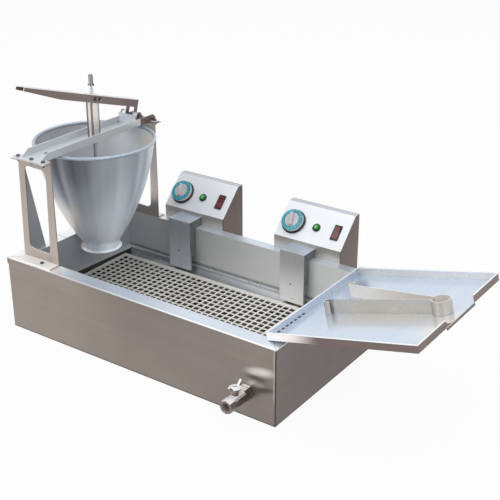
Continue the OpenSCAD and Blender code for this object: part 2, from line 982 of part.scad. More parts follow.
// Place on the control panel of a head: z points out of the panel, y up its slope
module on_panel(i, shift) {
    translate([head_x[i] + shift,
               head_y + panel_row * cos(panel_slope),
               panel_z + panel_row * sin(panel_slope)])
        rotate([panel_slope, 0, 0])
            children();
}

module head_housing(i) {
    x0 = head_x[i] - head_w / 2;
    x1 = head_x[i] + head_w / 2;
    mouth = neck_w / 2 - neck_hole_inset;
    color("#d9dee3")
        difference() {
            along_x(x0, x1)
                head_outline(0);
            along_x(x0 + sheet_t, x1 - sheet_t)
                head_outline(sheet_t);
            box_at([head_x[i] + neck_shift - mouth, head_y - over, case_h + neck_hole_inset],
                   [head_x[i] + neck_shift + mouth, head_y + sheet_t + over, neck_top - neck_hole_inset]);
            on_panel(i, knob_shift)
                bar_z(shaft_r + shaft_clear, -sheet_t - over, over);
            on_panel(i, lamp_shift)
                bar_z(lamp_body_r + fit_gap, -sheet_t - over, over);
            on_panel(i, switch_shift)
                translate([0, 0, -sheet_t - over])
                    linear_extrude(sheet_t + 2 * over)
                        square([switch_w - 2 * switch_corner_r + slide_gap,
                                switch_l - 2 * switch_corner_r + slide_gap], center = true);
        }
}

module head_back(i) {
    x0 = head_x[i] - head_w / 2;
    x1 = head_x[i] + head_w / 2;
    lip = sheet_t + seat_gap;
    color("#a39b96")
        difference() {
            union() {
                box_at([x0, head_y1, head_z0], [x1, head_y1 + sheet_t, head_z1]);
                box_at([x0 + lip, head_y1 - cover_lip, head_z0 + lip], [x1 - lip, head_y1, head_z1 - lip]);
            }
            box_at([x0 + 2 * lip, head_y1 - cover_lip - over, head_z0 + 2 * lip],
                   [x1 - 2 * lip, head_y1, head_z1 - 2 * lip]);
            translate([head_x[i] + gland_shift, 0, gland_z])
                bar_y(gland_r + fit_gap, head_y1 - over, head_y1 + sheet_t + over);
        }
}

module neck_cover(i) {
    x0 = head_x[i] + neck_shift - neck_w / 2;
    x1 = x0 + neck_w;
    wall_y = neck_y + neck_side_d;
    color("#c2c6ca") {
        box_at([x0, neck_y, neck_z0], [x1, neck_y + sheet_t, neck_top]);
        box_at([x0, neck_y, neck_top - sheet_t], [x1, head_y, neck_top]);
        for (x = [x0, x1 - sheet_t])
            along_x(x, x + sheet_t)
                polygon([[neck_y, neck_z0], [neck_y + neck_foot_d, neck_z0],
                         [neck_y + neck_foot_d, neck_step_z],
                         [wall_y, neck_step_z + neck_side_d - neck_foot_d], [wall_y, case_h],
                         [head_y, case_h], [head_y, neck_top], [neck_y, neck_top]]);
    }
}

module thermostat(i) {
    color("#4a4c4f")
        on_panel(i, knob_shift) {
            translate([-thermo_side / 2, -thermo_side / 2, -sheet_t - thermo_h])
                cube([thermo_side, thermo_side, thermo_h]);
            bar_z(shaft_r, -sheet_t, shaft_l);
        }
}

module knob_bezel(i) {
    color("#1c1d1f")
        on_panel(i, knob_shift)
            rotate_extrude()
                polygon([[shaft_r + shaft_clear, fit_gap], [bezel_r, fit_gap], [bezel_r, bezel_h / 2],
                         [bezel_r - bezel_h / 2, bezel_h], [shaft_r + shaft_clear, bezel_h]]);
}

module knob(i) {
    z0 = bezel_h + seat_gap;
    z1 = z0 + knob_h;
    color("#d4d3d6")
        on_panel(i, knob_shift)
            difference() {
                union() {
                    bar_z(knob_r, z0, z1);
                    bar_z(knob_hub_r, z0, z1 + knob_hub_h);
                    intersection() {
                        bar_z(knob_hub_r, z0, z1 + grip_h);
                        rotate(grip_turn)
                            translate([-knob_r, -grip_w / 2, z0])
                                cube([2 * knob_r, grip_w, knob_h + grip_h]);
                    }
                }
                bar_z(shaft_r + fit_gap, z0 - over, shaft_l + seat_gap);
            }
}

module knob_ring(i) {
    z0 = bezel_h + seat_gap + knob_h;
    color("#1fa6b4")
        on_panel(i, knob_shift)
            rotate_extrude()
                polygon([[knob_r - ring_w, z0], [knob_r, z0], [knob_r, z0 + ring_h / 2],
                         [knob_r - ring_h / 2, z0 + ring_h], [knob_r - ring_w, z0 + ring_h]]);
}

module lamp_body(i) {
    color("#e8e9ea")
        on_panel(i, lamp_shift) {
            bar_z(lamp_body_r, -lamp_body_h, 0);
            bar_z(lamp_flange_r, 0, lamp_flange_h);
        }
}

module lamp_lens(i) {
    drop = lamp_r / 2;
    dome_r = norm([lamp_r, drop]);
    color("#17a03c")
        on_panel(i, lamp_shift)
            translate([0, 0, lamp_flange_h])
                intersection() {
                    translate([0, 0, -drop])
                        sphere(dome_r);
                    bar_z(lamp_r, 0, dome_r);
                }
}

module switch_body(i) {
    body = [switch_w - 2 * switch_corner_r, switch_l - 2 * switch_corner_r];
    inner = [switch_w - 2 * switch_wall, switch_l - 2 * switch_wall - 2 * switch_corner_r];
    color("#26201f")
        on_panel(i, switch_shift)
            difference() {
                union() {
                    linear_extrude(switch_h)
                        round_square(switch_w, switch_l, switch_corner_r);
                    translate([0, 0, -switch_body_h])
                        linear_extrude(switch_body_h)
                            square(body, center = true);
                }
                translate([0, 0, -pocket_h])
                    linear_extrude(pocket_h + switch_h + over)
                        square(inner, center = true);
            }
}

module rocker(i) {
    half = switch_w / 2 - switch_wall - slide_gap;
    end = switch_l / 2 - switch_wall - switch_corner_r - 2 * slide_gap;
    color("#7c1f25")
        on_panel(i, switch_shift)
            rotate([rocker_tilt, 0, 0])
                along_x(-half, half)
                    polygon([[-end, rocker_crown], [-end, 0], [0, -rocker_depth], [end, 0],
                             [end, rocker_crown], [0, rocker_dip]]);
}

// Quarter bend of a tube, from the +x side to the +y side of its middle
module quarter(bend_r, r) {
    rotate_extrude(angle = 90)
        translate([bend_r, 0])
            circle(r);
}

// Quarter bend that lies in a plane across x, turned by an angle
module quarter_across(turn, bend_r, r) {
    rotate([90, 0, 90])
        rotate(turn)
            quarter(bend_r, r);
}

// Right half of the heating element: out of the head, down the neck and round below the grate
module heater_half() {
    r = heater_d / 2;
    translate([leg_x, 0, cold_z])
        bar_y(r, leg_y + elbow_r, cold_y);
    translate([leg_x, leg_y + elbow_r, cold_z - elbow_r])
        quarter_across(90, elbow_r, r);
    translate([leg_x, leg_y, 0])
        bar_z(r, heat_z + elbow_r, cold_z - elbow_r);
    translate([leg_x, leg_y - elbow_r, heat_z + elbow_r])
        quarter_across(270, elbow_r, r);
    translate([leg_x, 0, heat_z])
        bar_y(r, heat_back + turn_r, leg_y - elbow_r);
    translate([leg_x + turn_r, heat_back + turn_r, heat_z])
        rotate(180)
            quarter(turn_r, r);
    translate([0, heat_back, heat_z])
        bar_x(r, leg_x + turn_r, heat_half - turn_r);
    translate([heat_half - turn_r, heat_back - turn_r, heat_z])
        quarter(turn_r, r);
    translate([heat_half, 0, heat_z])
        bar_y(r, heat_front + turn_r, heat_back - turn_r);
    translate([heat_half - turn_r, heat_front + turn_r, heat_z])
        rotate(270)
            quarter(turn_r, r);
    translate([0, heat_front, heat_z])
        bar_x(r, 0, heat_half - turn_r);
}

module heating_element(i) {
    color("#8d8f91")
        translate([head_x[i] + neck_shift, 0, 0])
            for (m = [0, 1])
                mirror([m, 0, 0])
                    heater_half();
}

module sensor_bulb(i) {
    top = cold_z;
    color("#b5926b")
        translate([head_x[i] + neck_shift, bulb_y, 0]) {
            bar_z(bulb_r, bulb_z, bulb_z + bulb_l);
            translate([0, 0, bulb_z])
                sphere(bulb_r);
            bar_z(capillary_r, bulb_z, top - elbow_r);
            translate([0, elbow_r, top - elbow_r])
                quarter_across(90, elbow_r, capillary_r);
            translate([0, 0, top])
                bar_y(capillary_r, elbow_r, cold_y - bulb_y);
        }
}

module terminal_block(i) {
    floor_z = head_z0 + sheet_t;
    color("#ddd9cf")
        translate([head_x[i] - block_size[0] / 2, head_y + head_top_d, floor_z])
            difference() {
                cube(block_size);
                for (s = [1, 3, 5])
                    translate([s * block_size[0] / 6, block_size[1] / 2, 0])
                        bar_z(block_post_r, block_size[2] / 2, block_size[2] + over);
            }
}

module cable_gland(i) {
    y0 = head_y1 + sheet_t;
    color("#33363a")
        translate([head_x[i] + gland_shift, 0, gland_z])
            difference() {
                union() {
                    bar_y(gland_r, head_y1 - gland_in, y0);
                    translate([0, y0 + gland_hex_h, 0])
                        rotate([90, 0, 0])
                            cylinder(r = gland_hex_r, h = gland_hex_h, $fn = 6);
                    translate([0, y0 + gland_hex_h, 0])
                        rotate([-90, 0, 0])
                            cylinder(r1 = gland_hex_r - gland_shoulder, r2 = gland_tip_r, h = gland_dome_h);
                }
                bar_y(gland_bore_r, head_y1 - gland_in - over, y0 + gland_hex_h + gland_dome_h + over);
            }
}

module at_drain() {
    translate([drain_x, 0, drain_z])
        children();
}

module drain_nipple() {
    inner_y = bath_y0 + bath_bend_r;
    color("#b7b2a8")
        difference() {
            at_drain()
                difference() {
                    bar_y(nipple_r, valve_y1 - socket_l + seat_gap, inner_y);
                    bar_y(nipple_bore_r, valve_y1 - socket_l - over, inner_y + over);
                }
            bath_space(0, case_h + over);
        }
}

module drain_locknut() {
    color("#a9a9a6")
        at_drain()
            difference() {
                translate([0, front_y, 0])
                    rotate([90, 0, 0])
                        cylinder(r = locknut_r, h = locknut_h - seat_gap, $fn = 6);
                bar_y(nipple_r + fit_gap, front_y - locknut_h - over, front_y + over);
            }
}

module valve_body() {
    barrel_y0 = valve_y0 + outlet_hex_l;
    color("#c8c6c1")
        at_drain()
            difference() {
                union() {
                    translate([0, valve_y1, 0])
                        rotate([90, 0, 0])
                            cylinder(r = inlet_hex_r, h = socket_l, $fn = 6);
                    bar_y(barrel_r, barrel_y0, valve_y1 - socket_l);
                    translate([0, barrel_y0, 0])
                        rotate([90, 0, 0])
                            cylinder(r = outlet_hex_r, h = outlet_hex_l, $fn = 8);
                    translate([0, ball_y, 0])
                        bar_z(boss_r, 0, boss_top);
                }
                bar_y(nipple_r + fit_gap, valve_y1 - socket_l, valve_y1 + over);
                bar_y(nipple_bore_r, valve_y0 - over, valve_y1);
                bar_y(outlet_bore_r, valve_y0 - over, valve_y0 + outlet_bore_l);
                translate([0, ball_y, 0]) {
                    sphere(ball_r + fit_gap);
                    bar_z(stem_r + fit_gap, 0, boss_top + over);
                }
            }
}

module valve_ball() {
    color("#dcdcda")
        at_drain()
            translate([0, ball_y, 0])
                difference() {
                    sphere(ball_r);
                    bar_y(ball_bore_r, -ball_r - over, ball_r + over);
                    bar_z(stem_r, ball_r - stem_r / 2, ball_r + over);
                }
}

module valve_stem() {
    color("#b9b9b6")
        at_drain()
            translate([0, ball_y, 0])
                bar_z(stem_r, ball_r - stem_r / 2, stem_top);
}

// Butterfly handle: a hub on the stem with two raised wings along the pipe
module valve_handle() {
    color("#e3e2df")
        at_drain()
            translate([0, ball_y, stem_top - handle_t])
                difference() {
                    union() {
                        bar_z(handle_hub_r, 0, handle_t);
                        for (s = [0, 1])
                            mirror([0, s, 0])
                                translate([0, handle_hub_r - handle_t, 0])
                                    rotate([wing_rise, 0, 0])
                                        translate([-wing_w / 2, 0, 0])
                                            cube([wing_w, wing_l, handle_t]);
                    }
                    bar_z(stem_r + fit_gap, -over, handle_t + over);
                }
}

// Tray frame: x runs up the tray's slope from its bend over the rim, z square to its floor
module on_tray() {
    translate([tray_x, tray_shift, tray_z])
        rotate([0, -tray_tilt, 0])
            children();
}

module side_tray() {
    half = tray_w / 2;
    notch_y0 = notch_shift - notch_l / 2;
    notch_y1 = notch_y0 + notch_l;
    rise = tray_rim_h - tray_t;
    ramp = [for (p = notch_ramp_shares) [notch_y0 + notch_ramp * p[0], tray_t + rise * p[1]]];
    slots = [for (s = [-1, 1]) s * (tray_slot_gap + tray_slot_l) / 2];
    color("#c4cad2") {
        on_tray() {
            difference() {
                box_at([0, -half, 0], [tray_l, half, tray_rim_h]);
                box_at([tray_t, -half + tray_t, tray_t], [tray_l - tray_t, half - tray_t, tray_rim_h + over]);
                along_x(tray_l - 2 * tray_t, tray_l + over)
                    polygon(concat(ramp, [[notch_y1, tray_t], [notch_y1, tray_rim_h + over],
                                          [notch_y0, tray_rim_h + over]]));
                for (y = slots)
                    box_at([-over, y - tray_slot_l / 2, -over],
                           [tray_t + tray_slot_w, y + tray_slot_l / 2, tray_t + tray_slot_w]);
            }
            box_at([0, half - tray_t, tray_rim_h - tray_t], [tray_l, half + tray_hem, tray_rim_h]);
            along_y(notch_y0, notch_y1)
                translate([tray_l - tray_t, tray_t - notch_lip_r])
                    notch_fold();
        }
        for (y = [bath_y0 + hook_inset, tray_shift, bath_y1 - hook_inset])
            box_at([bath_x1 - seat_gap - tray_t, y - hook_w / 2, tray_z - hook_drop],
                   [bath_x1 - seat_gap, y + hook_w / 2, tray_z + tray_t / 2]);
    }
}

// Fold that turns the tray's floor down at the notch, about the middle of its bend
module notch_fold() {
    intersection() {
        difference() {
            circle(notch_lip_r);
            circle(notch_lip_r - tray_t);
        }
        square(notch_lip_r);
    }
    translate([notch_lip_r - tray_t, -notch_lip_h])
        square([tray_t, notch_lip_h]);
}

// Bracket under the tray: a bar on the rim, a sloping flange and a leg that bears on the casing's end
module tray_support() {
    leg_x0 = case_l / 2 + seat_gap;
    leg_x1 = leg_x0 + support_l;
    bar_x0 = tray_x + bar_inset;
    foot_z = case_h + seat_gap;
    rise = tan(tray_tilt);
    under = tray_z - tray_x * rise;
    bar_half = tray_w / 2 - bar_margin;
    color("#9aa0a8")
        translate([0, tray_shift, 0]) {
            along_y(-support_w / 2, support_w / 2) {
                polygon([[bar_x0, under + bar_x0 * rise], [bar_x0, under + bar_x0 * rise - support_t],
                         [leg_x1, under + leg_x1 * rise - support_t], [leg_x1, under + leg_x1 * rise]]);
                translate([leg_x0, under + leg_x0 * rise - support_drop])
                    square([support_t, support_drop - support_t / 2]);
            }
            along_y(-bar_half, bar_half)
                polygon([[bar_x0, foot_z], [bar_x0 + bar_foot, foot_z],
                         [bar_x0 + bar_foot, foot_z + support_t], [bar_x0 + support_t, foot_z + support_t],
                         [bar_x0 + support_t, under + (bar_x0 + support_t) * rise],
                         [bar_x0, under + bar_x0 * rise]]);
        }
}

// One leg of the tongs, from the loop to its curled end
module tongs_leg() {
    translate([leg_start[0], leg_start[1]])
        rotate(180 - leg_turn)
            translate([0, -strip_t / 2])
                square([leg_l, strip_t]);
    translate([leg_end_s, leg_end_y + curl_r])
        difference() {
            circle(curl_r + strip_t / 2);
            circle(curl_r - strip_t / 2);
            translate([0, -curl_r - strip_t])
                square([curl_r + strip_t, curl_r + strip_t + strip_t]);
        }
}

module tongs() {
    reach = loop_r + strip_t;
    gape = reach * tan(loop_open);
    color("#d2d0cb")
        on_tray()
            translate([loop_s, tongs_shift, tray_t + seat_gap])
                rotate(tongs_turn)
                    linear_extrude(tongs_h) {
                        difference() {
                            circle(loop_r + strip_t / 2);
                            circle(loop_r - strip_t / 2);
                            polygon([[0, 0], [-reach, -gape], [-reach, gape]]);
                        }
                        for (m = [0, 1])
                            mirror([0, m])
                                translate([-loop_s, 0])
                                    tongs_leg();
                    }
}

outer_casing();
bath_tank();
perforated_grate();
front_upright();
rear_upright();
bridge_channel();
frame_bolts();
hopper();
dosing_cylinder();
plunger_tube();
plunger_rod();
piston();
forming_disc();
dose_nut();
press_lever();
link_bolts();
pivot_bracket();
pivot_pin();
pivot_spacers();
head_housing(0);  // head_housing_left
head_housing(1);  // head_housing_right
head_back(0);  // head_back_left
head_back(1);  // head_back_right
neck_cover(0);  // neck_cover_left
neck_cover(1);  // neck_cover_right
thermostat(0);  // thermostat_left
thermostat(1);  // thermostat_right
knob(0);  // knob_left
knob(1);  // knob_right
knob_ring(0);  // knob_ring_left
knob_ring(1);  // knob_ring_right
knob_bezel(0);  // knob_bezel_left
knob_bezel(1);  // knob_bezel_right
lamp_body(0);  // lamp_body_left
lamp_body(1);  // lamp_body_right
lamp_lens(0);  // lamp_lens_left
lamp_lens(1);  // lamp_lens_right
switch_body(0);  // switch_body_left
switch_body(1);  // switch_body_right
rocker(0);  // rocker_left
rocker(1);  // rocker_right
heating_element(0);  // heating_element_left
heating_element(1);  // heating_element_right
sensor_bulb(0);  // sensor_bulb_left
sensor_bulb(1);  // sensor_bulb_right
terminal_block(0);  // terminal_block_left
terminal_block(1);  // terminal_block_right
cable_gland(0);  // cable_gland_left
cable_gland(1);  // cable_gland_right
drain_nipple();
drain_locknut();
valve_body();
valve_ball();
valve_stem();
valve_handle();
side_tray();
tray_support();
tongs();
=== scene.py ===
"""Studio scene of a tabletop donut fryer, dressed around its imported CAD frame."""

from __future__ import annotations

import json
import logging
import math
from collections.abc import Callable, Iterable, Sequence
from dataclasses import dataclass, field
from enum import Enum

import bmesh
import bpy
from mathutils import Matrix, Vector

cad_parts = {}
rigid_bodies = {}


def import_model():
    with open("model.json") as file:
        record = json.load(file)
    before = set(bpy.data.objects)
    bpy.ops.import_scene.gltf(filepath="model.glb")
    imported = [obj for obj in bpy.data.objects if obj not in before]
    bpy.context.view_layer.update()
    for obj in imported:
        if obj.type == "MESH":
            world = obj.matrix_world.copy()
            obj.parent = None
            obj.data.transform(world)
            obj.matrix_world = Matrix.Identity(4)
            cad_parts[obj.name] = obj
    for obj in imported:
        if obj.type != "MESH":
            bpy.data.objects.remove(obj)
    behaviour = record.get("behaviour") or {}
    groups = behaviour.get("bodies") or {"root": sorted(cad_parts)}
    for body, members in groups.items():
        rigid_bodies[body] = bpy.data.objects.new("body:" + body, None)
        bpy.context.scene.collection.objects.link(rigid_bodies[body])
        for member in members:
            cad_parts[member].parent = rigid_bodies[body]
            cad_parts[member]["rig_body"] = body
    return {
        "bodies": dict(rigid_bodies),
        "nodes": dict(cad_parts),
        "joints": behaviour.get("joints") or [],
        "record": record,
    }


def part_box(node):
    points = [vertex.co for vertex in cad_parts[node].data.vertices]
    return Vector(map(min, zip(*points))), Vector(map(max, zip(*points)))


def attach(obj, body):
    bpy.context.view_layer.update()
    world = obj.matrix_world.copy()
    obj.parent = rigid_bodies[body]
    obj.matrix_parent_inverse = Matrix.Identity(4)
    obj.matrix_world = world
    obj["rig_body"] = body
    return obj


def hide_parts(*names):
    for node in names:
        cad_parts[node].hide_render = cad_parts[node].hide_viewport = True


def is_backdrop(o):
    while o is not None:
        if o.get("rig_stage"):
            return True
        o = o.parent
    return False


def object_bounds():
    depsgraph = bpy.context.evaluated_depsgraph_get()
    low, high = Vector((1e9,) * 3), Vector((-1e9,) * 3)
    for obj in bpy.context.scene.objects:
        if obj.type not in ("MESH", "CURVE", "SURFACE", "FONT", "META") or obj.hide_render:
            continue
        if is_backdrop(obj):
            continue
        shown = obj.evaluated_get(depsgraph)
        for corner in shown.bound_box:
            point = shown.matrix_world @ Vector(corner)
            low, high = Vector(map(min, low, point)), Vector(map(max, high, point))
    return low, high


LOG = logging.getLogger("fryer")
Color = tuple[float, float, float, float]
Point = tuple[float, float]
Way = tuple[float, float, float]
Mesh = bmesh.types.BMesh
Socket = bpy.types.NodeSocket
X: Way = (1.0, 0.0, 0.0)
Y: Way = (0.0, 1.0, 0.0)
Z: Way = (0.0, 0.0, 1.0)
# Distance under which corners of a CAD mesh are one, and the same for new shapes
MERGE = 2e-6
CLOSE = 1e-6
# Least angle between two faces that stay apart, and least fold that is rounded
FLAT = math.radians(0.4)
FOLD = math.radians(28.0)
# Least share of a normal along a direction for a face that looks that way, and for one that leans that way
STEEP = 0.8
LEANING = 0.5
# Angle in degrees above which an edge stays sharp
CREASE = 35.0
# To the right in the picture
RIGHTWARD: Way = (0.82, 0.57, 0.0)


def tone(code: str) -> Color:
    """Turn a screen colour into the linear colour that a shader takes.

    Args:
        code: six hexadecimal digits, as on a screen.

    Returns:
        The linear colour with full alpha.
    """
    channels = [int(code[i:i + 2], 16) / 255 for i in (0, 2, 4)]
    linear = [c / 12.92 if c <= 0.04045 else ((c + 0.055) / 1.055) ** 2.4 for c in channels]
    return (linear[0], linear[1], linear[2], 1.0)


def stand(name: str, data: bpy.types.ID) -> bpy.types.Object:
    """Put a new object into the scene.

    Args:
        name: name of the object.
        data: its mesh, lamp or camera.

    Returns:
        The object.
    """
    made = bpy.data.objects.new(name, data)
    bpy.context.scene.collection.objects.link(made)
    return made


class Edge(Enum):
    """Width in metres of the rounding along a piece's folds and cut edges."""

    PIN = 0.0002
    BOLT = 0.0003
    THIN = 0.0004
    SHEET = 0.0005
    FRAME = 0.0006
    CASING = 0.0007
    HEAVY = 0.0008


class Grain(Enum):
    """Direction in which a sheet was brushed."""

    ALONG_X = (0.02, 1.0, 1.0)
    ALONG_Y = (1.0, 0.02, 1.0)
    ALONG_Z = (1.0, 1.0, 0.02)
    PLAIN = (1.0, 1.0, 1.0)

    def scale(self, density: float) -> Vector:
        """Stretch of the pattern for a number of brush lines per metre."""
        return Vector(self.value) * density


class Facing(Enum):
    """Which way a face of a folded part looks, in the part's own frame, to pick lit and shaded copies of a
    finish as painted light and shade.
    """

    FLANK = "flank"
    END = "end"
    UP = "up"

    @classmethod
    def of(cls, normal: Vector) -> "Facing":
        """Sort a face by its normal.

        Args:
            normal: the face's normal in the part's own frame.

        Returns:
            UP for level faces, END for faces across the length, FLANK for the rest.
        """
        if abs(normal.z) > STEEP:
            return cls.UP
        return cls.END if abs(normal.x) > STEEP else cls.FLANK


class Graph:
    """Adds and joins the nodes of one shader tree."""

    # Places of the share, the two colours and the result on a node that mixes colours
    MIX_IN = (0, 6, 7)
    MIX_OUT = 2

    def __init__(self, tree: bpy.types.NodeTree) -> None:
        """Start from an empty tree."""
        self.tree = tree
        tree.nodes.clear()

    def add(self, kind: str, **props: object) -> bpy.types.Node:
        """Add a node.

        Args:
            kind: the node's type name without its prefix.
            props: settings of the node.

        Returns:
            The new node.
        """
        made = self.tree.nodes.new("ShaderNode" + kind)
        for key, value in props.items():
            setattr(made, key, value)
        return made

    def feed(self, slot: Socket, value: object) -> None:
        """Join a socket to an input, or set the input to a constant.

        Args:
            slot: the input.
            value: socket or constant.
        """
        if isinstance(value, Socket):
            self.join(value, slot)
        else:
            slot.default_value = value

    def put(self, made: bpy.types.Node, **values: object) -> bpy.types.Node:
        """Feed inputs by name.

        Args:
            made: the node.
            values: sockets or constants, by the inputs' names with underscores for spaces.

        Returns:
            The same node.
        """
        for key, value in values.items():
            self.feed(made.inputs[key.replace("_", " ")], value)
        return made

    def join(self, start: Socket, end: Socket) -> None:
        """Link an output to an input."""
        self.tree.links.new(start, end)

    def surface(self, shader: bpy.types.Node, kind: str = "Material") -> None:
        """Join a shader to the tree's output."""
        self.put(self.add("Output" + kind), Surface=shader.outputs[0])

    def math(self, operation: str, first: object, second: object = 0.0) -> Socket:
        """Join two values by a sum.

        Args:
            operation: name of the sum.
            first: socket or number.
            second: socket or number.

        Returns:
            The result's socket.
        """
        made = self.add("Math", operation=operation)
        self.feed(made.inputs[0], first)
        self.feed(made.inputs[1], second)
        return made.outputs[0]

    def blend(self, share: Socket, low: object, high: object) -> Socket:
        """Mix two colours.

        Args:
            share: socket with the share of the second colour.
            low: first colour, or a socket with it.
            high: second colour, or a socket with it.

        Returns:
            The mixed colour's socket.
        """
        made = self.add("Mix", data_type="RGBA")
        for place, value in zip(self.MIX_IN, (share, low, high)):
            self.feed(made.inputs[place], value)
        return made.outputs[self.MIX_OUT]

    def noise(self, place: Socket, **values: object) -> Socket:
        """Noise over a place, with its settings by name."""
        return self.put(self.add("TexNoise"), Vector=place, **values).outputs[0]

    def span(self, value: Socket, start: float = 0.0, stop: float = 1.0, near: float = 0.0, far: float = 1.0,
             soft: bool = False) -> Socket:
        """Map a value from one range to another.

        Args:
            value: socket with the value.
            start: value where the change begins.
            stop: value where the change ends.
            near: level before the start.
            far: level after the stop.
            soft: whether the change eases in and out.

        Returns:
            The level's socket.
        """
        made = self.add("MapRange", interpolation_type="SMOOTHSTEP" if soft else "LINEAR")
        return self.put(made, Value=value, From_Min=start, From_Max=stop, To_Min=near, To_Max=far).outputs[0]

    def along(self, place: Socket, way: Way, start: float, stop: float, near: float = 0.0,
              far: float = 1.0) -> Socket:
        """Value that eases from one level to another along a direction.

        Args:
            place: socket with object coordinates.
            way: the direction.
            start: place in metres where the change begins.
            stop: place in metres where the change ends.
            near: level before the start.
            far: level after the stop.

        Returns:
            The value's socket.
        """
        reach = self.add("VectorMath", operation="DOT_PRODUCT")
        self.feed(reach.inputs[0], place)
        self.feed(reach.inputs[1], way)
        return self.span(reach.outputs["Value"], start, stop, near, far, True)

    def shade(self, colour: Socket, level: Socket) -> Socket:
        """Multiply a colour by a brightness.

        Args:
            colour: socket with the colour.
            level: socket with the brightness.

        Returns:
            The shaded colour's socket.
        """
        made = self.add("VectorMath", operation="SCALE")
        self.join(colour, made.inputs[0])
        self.join(level, made.inputs["Scale"])
        return made.outputs[0]


class SharedEffects:
    """Node groups that several finishes use."""

    # Painted reflection bands: places round the hopper, as shares of TURN in radians, and the brightness
    # there
    BANDS = (
        (0.0, 0.7), (0.114, 0.66), (0.171, 0.24), (0.211, 0.29), (0.245, 0.16), (0.275, 0.08), (0.303, 0.32),
        (0.33, 0.05), (0.36, 0.0), (0.42, 0.03), (0.464, 0.26), (0.507, 0.42), (0.551, 0.54), (0.586, 0.78),
        (0.622, 0.7), (0.676, 0.48), (0.705, 0.72), (0.742, 0.52), (0.783, 0.95), (1.0, 0.7),
    )
    TURN = (-2.5, 1.1)
    # Heights between which the bands even out, and the share at either end, with the tone that they go to
    EVEN = (0.37, 0.22, 0.0, 0.75)
    EVEN_TONE = 0.42
    # Share of the broad brush lines, and how many times closer the smudges are than the clouds
    BROAD_SHARE = 0.65
    QUICKER = 7.0
    # Ranges of the noise that clouds and smudges take up
    CLOUDS = (0.3, 0.7)
    SMUDGES = (0.42, 0.72)

    def __init__(self) -> None:
        """Build the groups once."""
        self.grain = self._grain()
        self.drift = self._drift()
        self.bands = self._bands()

    @staticmethod
    def _open(name: str, inputs: dict[str, str],
              outputs: Iterable[str]) -> tuple[Graph, bpy.types.Node, bpy.types.Node]:
        """Start a group with named sockets.

        Args:
            name: name of the group.
            inputs: socket names and their types.
            outputs: names of the value outputs.

        Returns:
            The group's graph, its input node and its output node.
        """
        tree = bpy.data.node_groups.new(name, "ShaderNodeTree")
        for label, kind in inputs.items():
            tree.interface.new_socket(name=label, in_out="INPUT", socket_type="NodeSocket" + kind)
        for label in outputs:
            tree.interface.new_socket(name=label, in_out="OUTPUT", socket_type="NodeSocketFloat")
        graph = Graph(tree)
        start = tree.nodes.new("NodeGroupInput")
        end = tree.nodes.new("NodeGroupOutput")
        return graph, start, end

    def _grain(self) -> bpy.types.NodeTree:
        """Fine brush lines: a tone and a height from stretched coordinates.

        Returns:
            The group.
        """
        graph, start, end = self._open("brush_lines", {"Vector": "Vector"}, ("Tone", "Height"))
        place = start.outputs["Vector"]
        broad = graph.noise(place, Scale=0.12, Detail=2.0, Roughness=0.6)
        fine = graph.noise(place, Scale=1.0, Detail=3.0, Roughness=0.7)
        most = graph.math("MULTIPLY", broad, self.BROAD_SHARE)
        rest = graph.math("MULTIPLY", fine, 1.0 - self.BROAD_SHARE)
        graph.put(end, Tone=graph.math("ADD", most, rest), Height=fine)
        return graph.tree

    def _drift(self) -> bpy.types.NodeTree:
        """Slow clouds from rolling, handling and wiping: a tone and a smudge mask.

        Returns:
            The group.
        """
        sockets = {"Vector": "Vector", "Scale": "Float"}
        graph, start, end = self._open("wiped_clouds", sockets, ("Tone", "Smudge"))
        place, scale = start.outputs["Vector"], start.outputs["Scale"]
        slow = graph.noise(place, Scale=scale, Detail=2.0, Roughness=0.45, Distortion=0.6)
        closer = graph.math("MULTIPLY", scale, self.QUICKER)
        quick = graph.noise(place, Scale=closer, Detail=4.0, Roughness=0.65)
        graph.put(end, Tone=graph.span(slow, *self.CLOUDS), Smudge=graph.span(quick, *self.SMUDGES))
        return graph.tree

    def _bands(self) -> bpy.types.NodeTree:
        """Painted reflection: soft light and dark bands round an upright axis, a tone from the angle and the
        height.

        Returns:
            The group.
        """
        graph, start, end = self._open("painted_reflection_bands", {"Vector": "Vector"}, ("Tone",))
        apart = graph.put(graph.add("SeparateXYZ"), Vector=start.outputs["Vector"])
        angle = graph.math("ARCTAN2", apart.outputs["Y"], apart.outputs["X"])
        ramp = graph.add("ValToRGB")
        ramp.color_ramp.interpolation = "EASE"
        stops = ramp.color_ramp.elements
        while len(stops) < len(self.BANDS):
            stops.new(0.5)
        for stop, (spot, level) in zip(stops, self.BANDS):
            stop.position = spot
            stop.color = (level, level, level, 1.0)
        graph.join(graph.span(angle, *self.TURN), ramp.inputs[0])
        low = graph.span(apart.outputs["Z"], *self.EVEN, soft=True)
        kept = graph.math("MULTIPLY", ramp.outputs[0], graph.math("SUBTRACT", 1.0, low))
        graph.put(end, Tone=graph.math("ADD", kept, graph.math("MULTIPLY", low, self.EVEN_TONE)))
        return graph.tree

    @staticmethod
    def place(graph: Graph, group: bpy.types.NodeTree) -> bpy.types.Node:
        """Put a group into a material's graph."""
        return graph.add("Group", node_tree=group)


@dataclass(frozen=True)
class Fade:
    """Painted light and shade: slow change of brightness along one direction of the row frame.

    Attributes:
        way: the direction.
        start: place in metres where the change begins.
        stop: place in metres where the change ends.
        near: brightness before the start.
        far: brightness after the stop.
    """

    way: Way
    start: float
    stop: float
    near: float
    far: float

    def apply(self, graph: Graph, place: Socket, colour: Socket) -> Socket:
        """Shade a colour at a place."""
        return graph.shade(colour, graph.along(place, self.way, self.start, self.stop, self.near, self.far))


@dataclass(frozen=True)
class Patch:
    """Patch of another colour over a finish, used for painted highlights, painted reflections and painted
    shade, and for a few dark lines and bands.

    Attributes:
        code: the patch's colour.
    """

    code: str

    def share(self, graph: Graph, place: Socket) -> Socket:
        """Share of the patch's colour at a place."""
        raise NotImplementedError

    def apply(self, graph: Graph, place: Socket, colour: Socket) -> Socket:
        """Lay the patch over a colour at a place."""
        return graph.blend(self.share(graph, place), colour, tone(self.code))


